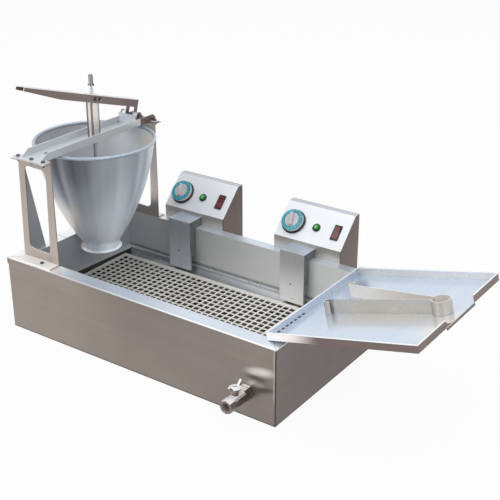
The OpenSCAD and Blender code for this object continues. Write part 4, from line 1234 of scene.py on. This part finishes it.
@dataclass
class Portal:
    """The two uprights, the bridge and their bolts.

    Attributes:
        gusset_x: place left of which a face across the length belongs to a gusset.
        foot_z: height of the foot flanges' upper side.
        rear_cut: plane that parts the rear upright's lower faces.
    """

    gusset_x: float = -0.3285
    foot_z: float = 0.176
    rear_cut: tuple[Way, Way] = ((0.0, 0.0, 0.2), Z)

    def build(self, shop: Workshop) -> None:
        """Make the portal's pieces.

        Args:
            shop: the workshop.
        """
        Folded("front_upright", self._upright, Edge.FRAME).build(shop)
        Folded("rear_upright", self._upright, Edge.FRAME, cuts=(self.rear_cut,)).build(shop)
        # Lit top and shaded sides of the bridge, as painted light and shade.
        bridge = by_facing("bridge_side", "bridge_side", "bridge_face")
        Folded("bridge_channel", bridge, Edge.FRAME).build(shop)
        Folded("frame_bolts", plain("dark_turned"), Edge.BOLT).build(shop)

    def _upright(self, centre: Vector, normal: Vector) -> str:
        """Finish of a face of an upright: lit and shaded copies of its steel, as painted light and shade.

        Args:
            centre: the face's middle.
            normal: the face's normal.

        Returns:
            Name of the finish.
        """
        if Facing.of(normal) is Facing.UP or centre.z < self.foot_z:
            return "frame_lit_faces"
        if Facing.of(normal) is Facing.END:
            return "gusset_face" if centre.x < self.gusset_x else "frame_edge"
        return "frame_face" if centre.y < 0 else "frame_rear"


@dataclass
class Press:
    """Hopper, dosing pieces, lever and pivot.

    Attributes:
        lever_tilt: slope of the lever at rest.
        axis: the hopper's axis.
        rim_r: radius of the hopper's mouth.
        roll_r: radius of the roll round the mouth.
        mouth_z: height of the mouth.
        ear_h: height of the ears' sheet below the mouth.
        lip_z: height up to which the lip reaches.
        crest_h: height of the fold along the lever's top, painted pale as a highlight.
        flutes: number of faces round the nut, painted as highlight and shade in turn for its flutes.
        tab: length of the tab at the lever's tip.
    """

    lever_tilt: float = math.radians(17.2)
    axis: Point = HOPPER_AXIS
    rim_r: float = 0.135
    roll_r: float = 0.0044
    mouth_z: float = 0.405
    ear_h: float = 0.0005
    lip_z: float = 0.1458
    crest_h: float = 0.0022
    flutes: int = 16
    tab: float = 0.014

    def build(self, shop: Workshop) -> None:
        """Make the press's pieces.

        Args:
            shop: the workshop.
        """
        turn = Matrix.Rotation(self.lever_tilt, 3, "X")
        Folded("hopper", self._hopper, Edge.THIN).build(shop)
        rise = Vector((0.0, math.sin(self.lever_tilt), math.cos(self.lever_tilt)))
        crest = max(rise.dot(v.co) for v in shop.node("press_lever").data.vertices) - self.crest_h
        fold = (tuple(rise * crest), tuple(rise))
        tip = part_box("press_lever")[0].y + self.tab
        Folded("press_lever", self._lever(rise, crest, tip), Edge.SHEET, turn, (fold,)).build(shop)
        # Lit and shaded copies by facing, as painted light and shade.
        for name, faces, edge in (
                ("plunger_tube", ("tube_face", "tube_side", "tube_face"), Edge.HEAVY),
                ("pivot_bracket", ("bracket_lit", "lever_side", "bridge_face"), Edge.FRAME),
                ("pivot_spacers", ("bracket_lit", "bright_turned", "bracket_lit"), Edge.BOLT)):
            Folded(name, by_facing(*faces), edge).build(shop)
        for name, finish in (("pivot_pin", "dark_turned"), ("link_bolts", "dark_turned"),
                             ("plunger_rod", "bright_turned")):
            Folded(name, plain(finish), Edge.PIN).build(shop)
        Folded("dose_nut", self._nut, Edge.PIN).build(shop)
        for name in ("forming_disc", "dosing_cylinder"):
            shop.dress(name, "bright_turned")
        shop.dress("piston", "moulded_white")

    @staticmethod
    def _lever(rise: Vector, crest: float, tip: float) -> Sorter:
        """Sorter of the lever's faces: its sides dark as painted shade, its top fold pale as a painted
        highlight, and its tip pale.

        Args:
            rise: the way up across the lever.
            crest: height along it above which the fold's painted highlight begins.
            tip: place along y before which the tip's tab begins.

        Returns:
            The sorter.
        """
        def sort(centre: Vector, normal: Vector) -> str:
            """Finish of one face."""
            side = Facing.of(normal) is Facing.END or normal.z < -LEANING
            return "lever_side" if side and rise.dot(centre) <= crest and centre.y >= tip else "lever_top"
        return sort

    def _nut(self, centre: Vector, normal: Vector) -> str:
        """Finish of a face of the knurled nut: painted highlight and painted shade in turn for its flutes.

        Args:
            centre: the face's middle.
            normal: the face's normal.

        Returns:
            Name of the finish.
        """
        if abs(normal.z) > LEANING:
            return "dark_turned"
        turn = math.atan2(centre.y - self.axis[1], centre.x - self.axis[0])
        return "bright_turned" if int(turn / math.tau * self.flutes) % 2 else "dark_turned"

    def _hopper(self, centre: Vector, normal: Vector) -> str:
        """Finish of a face of the hopper: roll, ears, lip painted bright as a highlight, and the inside or
        the outside with their painted light, shade and reflection.

        Args:
            centre: the face's middle.
            normal: the face's normal.

        Returns:
            Name of the finish.
        """
        out = Vector((centre.x - self.axis[0], centre.y - self.axis[1], 0.0))
        if math.hypot(out.length - self.rim_r, centre.z - self.mouth_z) < self.roll_r:
            return "rim_roll"
        if centre.z > self.mouth_z - self.ear_h:
            return "bridge_face"
        if centre.z < self.lip_z and out.dot(normal) > 0:
            return "rim_edge_highlight"
        return "hopper_skin" if out.dot(normal) > 0 else "hopper_inside"


@dataclass
class Head:
    """A lift-in control head with its neck, dial, lamp and switch.

    Attributes:
        side: left or right.
        x: middle of the head.
        panel: depth and height of the controls' row on the panel.
        slope: slope of the panel.
        dial: place of the dial along the panel.
        lamp: place of the lamp along the panel.
        neck: place of the neck's middle against the head's.
        neck_w: width of the neck.
        dark_h: height over the controls' row from which the rocker is darker as painted shade.
    """

    # Outlines of the turned pieces, as radius and height over the panel
    BEZEL = ((0.005, 0.0003), (0.0285, 0.0003), (0.029, 0.001), (0.029, 0.0024), (0.0274, 0.004),
             (0.005, 0.004))
    SKIRT = ((0.0034, 0.0045), (0.0252, 0.0045), (0.026, 0.0055), (0.026, 0.0115), (0.0254, 0.0124),
             (0.0034, 0.0124))
    HUB = ((0.0034, 0.0124), (0.0172, 0.0124), (0.0176, 0.0138), (0.0168, 0.0148), (0.0034, 0.0152))
    RING = ((0.0181, 0.0125), (0.026, 0.0125), (0.026, 0.0136), (0.0252, 0.0144), (0.0184, 0.0146))
    COLLAR = ((0.0066, 0.0001), (0.0096, 0.0001), (0.0096, 0.0013), (0.009, 0.0021), (0.0078, 0.0021))
    # Steps round the dial's pieces, its fluted pieces and the lamp
    DIAL_STEPS = 72
    FLUTED_STEPS = 144
    LAMP_STEPS = 48
    # Radius from which a piece is fluted, depth of the flutes as a share of it, and their number
    SKIRT_FLUTES = (0.0255, 0.012, 48)
    RING_FLUTES = (0.0245, 0.014, 24)
    # Size and place of a tick, and the ticks' turns in degrees
    TICK = (0.0026, 0.0008, 0.0002)
    TICK_AT = (0.0218, 0.0, 0.01462)
    TICK_TURNS = range(150, -91, -24)
    # Size of the grip, its middle, the height over which it narrows, by how much, its rounding and turn
    GRIP = (0.0334, 0.0098, 0.0096)
    GRIP_AT = (0.0, 0.0, 0.0174)
    GRIP_TOP = 0.018
    GRIP_TOP_SHARES = (0.93, 0.72)
    GRIP_EDGE = 0.0021
    GRIP_EDGE_STEPS = 4
    GRIP_TURN = math.radians(105)
    # Foot, radius and height of the lens, and the degrees of a step up its dome and of a sharp edge
    LENS_Z = 0.0021
    LENS_R = 0.0078
    LENS_H = 0.0042
    LENS_STEP = 9
    LENS_SMOOTH = 80.0
    # Radii within which the dome is lighter green, and within which it carries a painted highlight
    LENS_GREEN_R = 0.0058
    LENS_HIGHLIGHT_R = 0.0022
    # Size of each pressed mark, its place from the neck's middle and its height
    MARKS = (((0.0072, 0.0003, 0.0022), -0.003, 0.112), ((0.012, 0.0003, 0.0008), 0.004, 0.0765))
    MARK_EDGE = 0.0001
    # Size of the neck's seam, its place behind the neck's face, its height and its slope
    NECK_SEAM = (0.0003, 0.0185, 0.0012)
    NECK_SEAM_AT = (0.0075, 0.1835)
    NECK_SEAM_TURN = math.radians(-42)
    # Size of the dark strip of painted shadow at the housing's front end, its place from the housing's end
    # and its height
    HEAD_SHADOW_STRIP = (0.0012, 0.0003, 0.027)
    HEAD_SHADOW_STRIP_AT = (0.0008, 0.1855)
    # Least upward share of a normal for the housing's top and for its panel
    TOP_SHARE = 0.9
    PANEL_SHARE = 0.3

    side: str
    x: float
    panel: Point = (0.227286, 0.227579)
    slope: float = math.radians(45.6)
    dial: float = -0.052
    lamp: float = 0.008
    neck: float = -0.008
    neck_w: float = 0.064
    dark_h: float = 0.006

    def build(self, shop: Workshop) -> None:
        """Make the head's pieces.

        Args:
            shop: the workshop.
        """
        side = self.side
        # The neck's faces take lit and shaded copies by side and by facing, as painted light and shade.
        neck = by_facing(f"neck_{side}", "neck_side", "neck_top")
        Folded(f"head_housing_{side}", self._housing, Edge.FRAME).build(shop)
        # The housing's back takes the ends' darker copy, as painted shade.
        Folded(f"head_back_{side}", plain("head_side")).build(shop)
        Folded(f"neck_cover_{side}", neck).build(shop)
        self._dial(shop)
        self._lamp(shop)
        Folded(f"switch_body_{side}", plain("moulded_black"), Edge.THIN).build(shop)
        Folded(f"rocker_{side}", self._rocker, Edge.THIN).build(shop)
        Folded(f"cable_gland_{side}", plain("moulded_black"), Edge.THIN).build(shop)
        self._marks(shop)
        for name, finish in (("heating_element", "heater_sheath"), ("sensor_bulb", "copper_bulb"),
                             ("terminal_block", "moulded_white"), ("thermostat", "moulded_black")):
            shop.dress(f"{name}_{side}", finish)

    def _on_panel(self, along: float) -> Matrix:
        """Frame on the panel, with z out of it.

        Args:
            along: place along the panel from the head's middle.

        Returns:
            The frame's matrix.
        """
        return Matrix.Translation((self.x + along, *self.panel)) @ Matrix.Rotation(self.slope, 4, "X")

    def _housing(self, centre: Vector, normal: Vector) -> str:
        """Finish of a face of the housing: lit and shaded copies by facing, as painted light and shade.

        Args:
            centre: the face's middle; not used.
            normal: the face's normal.

        Returns:
            Name of the finish.
        """
        if Facing.of(normal) is Facing.END:
            return "head_side"
        if normal.z > self.TOP_SHARE:
            return "head_top"
        return "panel_face" if normal.z > self.PANEL_SHARE else "head_low"

    def _rocker(self, centre: Vector, normal: Vector) -> str:
        """Finish of a face of the rocker: darker at its upper end, as painted shade."""
        return "rocker_red" if centre.z < self.panel[1] + self.dark_h else "rocker_dark"

    def _instead(self, shop: Workshop, piece: str, mesh: Mesh, finishes: Sequence[str], node: str,
                 smooth: float = CREASE) -> None:
        """Add a piece that stands for one of the head's CAD nodes.

        Args:
            shop: the workshop.
            piece: name of the piece without its side.
            mesh: the shape.
            finishes: finishes in the order of the mesh's material numbers.
            node: name of the CAD node without its side.
            smooth: angle in degrees above which an edge stays sharp.
        """
        name = f"{node}_{self.side}"
        shop.add(f"{piece}_{self.side}", mesh, finishes, name, (name,), smooth)

    @staticmethod
    def _flute(mesh: Mesh, least: float, depth: float, count: int) -> Mesh:
        """Press flutes into the outside of a turned piece.

        Args:
            mesh: the piece, about z.
            least: radius from which it is fluted.
            depth: depth of the flutes as a share of the radius.
            count: number of flutes.

        Returns:
            The same piece.
        """
        for vert in mesh.verts:
            if vert.co.xy.length > least:
                turn = math.atan2(vert.co.y, vert.co.x)
                vert.co.xy *= 1.0 - depth * (0.5 + 0.5 * math.cos(count * turn))
        return mesh

    def _dial(self, shop: Workshop) -> None:
        """Bezel, fluted skirt, hub with its grip, and the coloured ring with ticks.

        Args:
            shop: the workshop.
        """
        place = self._on_panel(self.dial)
        bezel = lathe(self.BEZEL, self.DIAL_STEPS)
        self._instead(shop, "dial_bezel", move(bezel, place), ("moulded_black",), "knob_bezel")
        skirt = self._flute(lathe(self.SKIRT, self.FLUTED_STEPS), *self.SKIRT_FLUTES)
        knob = gather(((skirt, 0), (lathe(self.HUB, self.DIAL_STEPS), 1), (self._grip(), 1)))
        self._instead(shop, "dial_knob", move(knob, place), ("knob_skirt", "knob_grey"), "knob")
        parts = [(self._flute(lathe(self.RING, self.FLUTED_STEPS), *self.RING_FLUTES), 0)]
        for degrees in self.TICK_TURNS:
            turn = Matrix.Rotation(math.radians(degrees), 4, "Z")
            parts.append((move(block(self.TICK, self.TICK_AT), turn), 1))
        self._instead(shop, "dial_ring", move(gather(parts), place), ("ring_teal", "mark_white"), "knob_ring")

    def _grip(self) -> Mesh:
        """Grip bar across the hub, narrower at its top, with rounded ends.

        Returns:
            The bar.
        """
        bar = block(self.GRIP, self.GRIP_AT)
        for vert in bar.verts:
            if vert.co.z > self.GRIP_TOP:
                vert.co.xy *= Vector(self.GRIP_TOP_SHARES)
        bevel(bar, bar.edges[:], self.GRIP_EDGE, self.GRIP_EDGE_STEPS)
        return move(bar, Matrix.Rotation(self.GRIP_TURN, 4, "Z"))

    def _lamp(self, shop: Workshop) -> None:
        """Domed lens in its collar, dark green at its edge, green inside and with a painted highlight in the
        middle.

        Args:
            shop: the workshop.
        """
        place = self._on_panel(self.lamp)
        body = f"lamp_body_{self.side}"
        collar = lathe(self.COLLAR, self.LAMP_STEPS)
        shop.add(f"lamp_collar_{self.side}", move(collar, place), ("lens_dark",), body)
        shop.dress(body, "lens_dark")
        turns = [math.radians(degrees) for degrees in range(0, 91, self.LENS_STEP)]
        arc = [(self.LENS_R * math.cos(a), self.LENS_Z + self.LENS_H * math.sin(a)) for a in turns]
        dome = lathe(arc, self.LAMP_STEPS, False)
        for face in dome.faces:
            reach = face.calc_center_median().xy.length
            face.material_index = (reach <= self.LENS_GREEN_R) + (reach <= self.LENS_HIGHLIGHT_R)
        finishes = ("lens_dark", "lens_green", "lens_highlight")
        self._instead(shop, "lamp_dome", move(dome, place), finishes, "lamp_lens", self.LENS_SMOOTH)

    def _marks(self, shop: Workshop) -> None:
        """Two small pressed marks and the corner seams of the neck, and a dark strip of painted shadow at the
        housing's front end.

        Args:
            shop: the workshop.
        """
        face_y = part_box(f"neck_cover_{self.side}")[0].y
        middle_x = self.x + self.neck
        parts = [(block(size, (middle_x + along, face_y, z), self.MARK_EDGE), 0)
                 for size, along, z in self.MARKS]
        depth, line_z = self.NECK_SEAM_AT
        at = Matrix.Translation((middle_x + self.neck_w / 2, face_y + depth, line_z))
        parts.append((move(block(self.NECK_SEAM), at @ Matrix.Rotation(self.NECK_SEAM_TURN, 4, "X")), 1))
        low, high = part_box(f"head_housing_{self.side}")
        inset, line_z = self.HEAD_SHADOW_STRIP_AT
        parts.append((block(self.HEAD_SHADOW_STRIP, (high.x - inset, low.y, line_z)), 1))
        finishes = ("mark_dark", "seam_and_shadow_dark")
        shop.add(f"neck_marks_{self.side}", gather(parts), finishes, f"neck_cover_{self.side}")


@dataclass
class Drain:
    """Ball valve at the front.

    Attributes:
        x: place of the valve along the casing.
        y: place of its stem.
        top: height of the handle's hub.
        bore_z: height of the bore's axis.
    """

    # Outline of the handle's screw, its steps round, and the size, place and turn of the dark block of
    # painted shade that stands for its slot
    SCREW = ((0.0, 0.0), (0.0062, 0.0), (0.0062, 0.0012), (0.005, 0.0022), (0.0, 0.0024))
    SCREW_STEPS = 32
    SLOT = (0.0016, 0.0075, 0.0006)
    SLOT_AT = (0.0, 0.0, 0.0023)
    SLOT_TURN = math.radians(-35)
    # Upward share of a normal below which a face is painted black as shade, and above which it is painted
    # light
    UNDER_SHARE = -0.35
    LIGHT_SHARE = 0.55

    x: float = DRAIN_AT[0]
    y: float = -0.239
    top: float = 0.0875
    bore_z: float = DRAIN_AT[2]

    def build(self, shop: Workshop) -> None:
        """Make the valve's pieces.

        Args:
            shop: the workshop.
        """
        for name, edge in (("drain_nipple", Edge.BOLT), ("drain_locknut", Edge.HEAVY),
                           ("valve_body", Edge.HEAVY), ("valve_handle", Edge.SHEET),
                           ("valve_stem", Edge.THIN)):
            Folded(name, self._plate, edge).build(shop)
        # The ball takes the brown painted reflection of the table.
        shop.dress("valve_ball", "valve_table_reflection")
        # The screw's head is lit white, and its slot is a dark block of painted shade.
        slot = move(block(self.SLOT, self.SLOT_AT), Matrix.Rotation(self.SLOT_TURN, 4, "Z"))
        mesh = gather(((lathe(self.SCREW, self.SCREW_STEPS, False), 0), (slot, 1)))
        place = Matrix.Translation((self.x, self.y, self.top))
        shop.add("handle_screw", move(mesh, place), ("valve_lit", "seam_and_shadow_dark"), "valve_handle")

    def _plate(self, centre: Vector, normal: Vector) -> str:
        """Finish of a face of the valve: painted light above, a brown painted reflection of the table on the
        front, lit and shaded sides, painted shade below, and a bore painted lighter than its shade.

        Args:
            centre: the face's middle.
            normal: the face's normal.

        Returns:
            Name of the finish.
        """
        inward = Vector((self.x - centre.x, 0.0, self.bore_z - centre.z))
        if centre.y < self.y and abs(normal.y) < LEANING and inward.dot(normal) > 0.0:
            return "valve_bore"
        if normal.z < self.UNDER_SHARE:
            return "valve_under_shade"
        if normal.y < -STEEP:
            return "valve_table_reflection"
        if normal.z > STEEP or normal.x < 0.0 < normal.z:
            return "valve_lit"
        return "valve_light" if normal.z > self.LIGHT_SHARE else "valve_dark"


@dataclass
class SideTray:
    """Hook-on draining tray, its support and the tongs.

    Attributes:
        tilt: slope of the tray.
        mid_y: middle of the tray's width.
        between: place between the tongs' legs, across them.
        hem_w: width of the rims' hem beyond their sheet.
        hem_h: height of the hem.
        rim: low end, far end, front and rear of the rims in the tray's frame.
        sheet: thickness of the rims.
        flange: width of the rear rim's flange.
        notch: start and end of the notch in the far rim.
        foot: length and height of the low rim's foot in the tray's frame.
        rivets: places of the rivets along that rim.
        rivet_in: their place from the seam.
        seam: size of the seam line at the rim's foot.
        edge_h: height of the rims' edge that is painted bright as a highlight.
        low_l: length from the tray's low end within which the rim's inner face is a bluer lit copy, as
            painted light.
    """

    # Outline of a rivet and its steps round
    RIVET = ((0.0, 0.0), (0.0024, 0.0), (0.0022, 0.0006), (0.0012, 0.0011), (0.0, 0.0013))
    RIVET_STEPS = 24
    # Height of the hem over the rims' edge, and its rounding
    HEM_UP = 0.0003
    HEM_EDGE = 0.0002
    # Share of a normal to the rear below which a face of the tongs looks to the front
    FRONT_SHARE = -0.3

    tilt: float = math.radians(13.4)
    mid_y: float = -0.002
    between: float = -0.098
    hem_w: float = 0.0007
    hem_h: float = 0.0018
    rim: tuple[float, float, float, float] = (0.357, 0.677, -0.177, 0.178)
    sheet: float = 0.0012
    flange: float = 0.0062
    notch: Point = (-0.068, 0.054)
    foot: Point = (0.359, 0.08952)
    rivets: Way = (0.0875, 0.004, -0.0865)
    rivet_in: float = 0.003
    seam: Way = (0.0009, 0.336, 0.0002)
    edge_h: float = 0.002
    low_l: float = 0.03

    def build(self, shop: Workshop) -> None:
        """Make the tray's pieces.

        Args:
            shop: the workshop.
        """
        turn = Matrix.Rotation(self.tilt, 3, "Y")
        brim = max((turn @ v.co).z for v in shop.node("side_tray").data.vertices)
        bright = brim - self.edge_h
        Folded("side_tray", lambda c, n: self._tray(c, n, (turn @ c).z > bright), Edge.THIN, turn).build(shop)
        self._hem(shop, turn, brim)
        self._rivets(shop, turn)
        # The support takes the housing ends' darker copy, as painted shade.
        Folded("tray_support", plain("head_side")).build(shop)
        Folded("tongs", self._tongs, Edge.BOLT, turn).build(shop)

    def _hem(self, shop: Workshop, turn: Matrix, brim: float) -> None:
        """Flattened fold along the upper edge of the tray's rims, painted white as a highlight.

        Args:
            shop: the workshop.
            turn: the tray's own frame.
            brim: height of the rims' edge in that frame.
        """
        low, far, front, rear = self.rim
        over = self.hem_w
        front_in, rear_in = front + self.sheet + over, rear - self.flange - over
        far_in = far - self.sheet - over
        strips = (
            (low - over, far + over, front - over, front_in),
            (low - over, far + over, rear_in, rear + over),
            (low - over, low + self.sheet + over, front_in, rear_in),
            (far_in, far + over, front_in, self.notch[0]),
            (far_in, far + over, self.notch[1], rear_in),
        )
        middle_z = brim + self.HEM_UP - self.hem_h / 2
        parts = []
        for x0, x1, y0, y1 in strips:
            at = ((x0 + x1) / 2, (y0 + y1) / 2, middle_z)
            parts.append((block((x1 - x0, y1 - y0, self.hem_h), at, self.HEM_EDGE, 1), 0))
        shop.add("tray_hem", move(gather(parts), turn.transposed().to_4x4()), ("tray_edge",), "side_tray")

    def _rivets(self, shop: Workshop, turn: Matrix) -> None:
        """Seam and rivets at the foot of the low end's rim.

        Args:
            shop: the workshop.
            turn: the tray's own frame.
        """
        x, z = self.foot
        parts = [(block(self.seam, (x, self.mid_y, z)), 0)]
        for y in self.rivets:
            dome = lathe(self.RIVET, self.RIVET_STEPS, False)
            parts.append((move(dome, Matrix.Translation((x + self.rivet_in, y, z))), 1))
        mesh = move(gather(parts), turn.transposed().to_4x4())
        shop.add("tray_rivets", mesh, ("mark_dark", "tray_edge"), "side_tray")

    def _tongs(self, centre: Vector, normal: Vector) -> str:
        """Finish of a face of the tongs: edges and the rear leg's inner face painted bright as highlights.

        Args:
            centre: the face's middle.
            normal: the face's normal.

        Returns:
            Name of the finish.
        """
        if Facing.of(normal) is Facing.UP:
            return "tongs_edge"
        rear = Vector(BEFORE_TONGS).dot(centre) > self.between
        return "tongs_light" if rear and normal.y < self.FRONT_SHARE else "tongs_strip"

    def _tray(self, centre: Vector, normal: Vector, edge: bool) -> str:
        """Finish of a face of the tray: lit and shaded copies for the floor, inner rims and outer rims, and
        edges painted bright as highlights.

        Args:
            centre: the face's middle.
            normal: its normal in the tray's frame.
            edge: whether it lies at the rims' upper edge.

        Returns:
            Name of the finish.
        """
        if Facing.of(normal) is Facing.UP:
            if edge:
                return "tray_edge"
            return "tray_floor" if normal.z > 0 else "tray_outer"
        low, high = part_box("side_tray")
        inward = Vector(((low.x + high.x) / 2 - centre.x, self.mid_y - centre.y, 0.0))
        if normal.x > STEEP and centre.x < low.x + self.low_l:
            return "tray_low"
        return "tray_inner" if inward.dot(normal) > 0 else "tray_outer"


@dataclass
class Studio:
    """Camera, floor, lamps and world.

    Attributes:
        spot: place of the camera.
        aim: its turns in degrees.
        lens: its focal length.
        sensor: width of its sensor.
    """

    # Name, place, aim, side and power of each lamp
    LAMPS = (
        ("key", (-1.6, -2.8, 2.6), (0.0, 0.0, 0.2), 3.4, 42.0),
        ("fill", (3.0, -1.4, 2.0), (0.1, 0.0, 0.2), 3.0, 26.0),
        ("top", (0.2, 0.6, 3.2), (0.0, 0.0, 0.2), 3.6, 44.0),
    )
    WHITE = (1.0, 1.0, 1.0, 1.0)
    DIM_SKY = (0.5, 0.5, 0.5, 1.0)
    FLOOR_TONE = (0.86, 0.86, 0.86, 1.0)
    FLOOR_SIZE = 6.0
    FLOOR_DROP = 0.0004
    GLOW_SHARE = 0.94

    spot: Way = (1.2728, -1.5848, 1.1288)
    aim: Way = (65.62, 0.0, 35.05)
    lens: float = 73.6
    sensor: float = 36.0

    def build(self) -> None:
        """Set up the whole studio."""
        self._camera()
        self._world()
        self._floor()
        for lamp in self.LAMPS:
            self._lamp(*lamp)
        bpy.context.scene.view_settings.view_transform = "Standard"

    def _camera(self) -> None:
        """Camera at the picture's angle."""
        data = bpy.data.cameras.new("camera")
        data.lens = self.lens
        data.sensor_width = self.sensor
        made = stand("camera", data)
        made.location = self.spot
        made.rotation_euler = [math.radians(a) for a in self.aim]
        bpy.context.scene.camera = made

    @staticmethod
    def _seen(graph: Graph) -> Socket:
        """Mask of the rays that see the backdrop: camera, glossy and transmission rays.

        Args:
            graph: the tree that needs it.

        Returns:
            The mask's socket.
        """
        rays = graph.add("LightPath")
        first = graph.math("MAXIMUM", rays.outputs["Is Camera Ray"], rays.outputs["Is Glossy Ray"])
        return graph.math("MAXIMUM", first, rays.outputs["Is Transmission Ray"])

    def _world(self) -> None:
        """White backdrop with a softer light on matt surfaces."""
        world = bpy.data.worlds.new("studio")
        bpy.context.scene.world = world
        world.use_nodes = True
        graph = Graph(world.node_tree)
        sky = graph.blend(self._seen(graph), self.DIM_SKY, self.WHITE)
        graph.surface(graph.put(graph.add("Background"), Color=sky), "World")

    def _floor(self) -> None:
        """Plain pale floor that keeps a light shadow."""
        mesh = bmesh.new()
        bmesh.ops.create_grid(mesh, x_segments=1, y_segments=1, size=self.FLOOR_SIZE)
        bmesh.ops.translate(mesh, vec=Vector((0, 0, -self.FLOOR_DROP)), verts=mesh.verts[:])
        data = bpy.data.meshes.new("floor")
        mesh.to_mesh(data)
        mesh.free()
        made = stand("floor", data)
        paint, graph = start_material("floor_paint")
        matt = graph.put(graph.add("BsdfDiffuse"), Color=self.FLOOR_TONE)
        glow = graph.put(graph.add("Emission"), Color=self.WHITE)
        mix = graph.add("MixShader")
        share = graph.math("MULTIPLY", self._seen(graph), self.GLOW_SHARE)
        for slot, value in zip(mix.inputs, (share, matt.outputs[0], glow.outputs[0])):
            graph.join(value, slot)
        graph.surface(mix)
        data.materials.append(paint)
        made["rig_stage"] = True

    @staticmethod
    def _lamp(name: str, spot: Way, aim: Way, size: float, power: float) -> None:
        """Soft square lamp.

        Args:
            name: name of the lamp.
            spot: its place.
            aim: the point that it faces.
            size: its side in metres.
            power: its power in watts.
        """
        data = bpy.data.lights.new(name, "AREA")
        data.size = size
        data.energy = power
        made = stand(name, data)
        made.location = spot
        made.rotation_euler = (Vector(aim) - Vector(spot)).to_track_quat("-Z", "Y").to_euler()


def main() -> None:
    """Build the fryer and its studio, and note its size."""
    logging.basicConfig(level=logging.INFO)
    shop = Workshop()
    Studio().build()
    heads = [Head("left", x=-0.144), Head("right", x=0.176)]
    for part in (Tub(), Portal(), Press(), *heads, Drain(), SideTray()):
        part.build(shop)


if __name__ == "__main__":
    main()
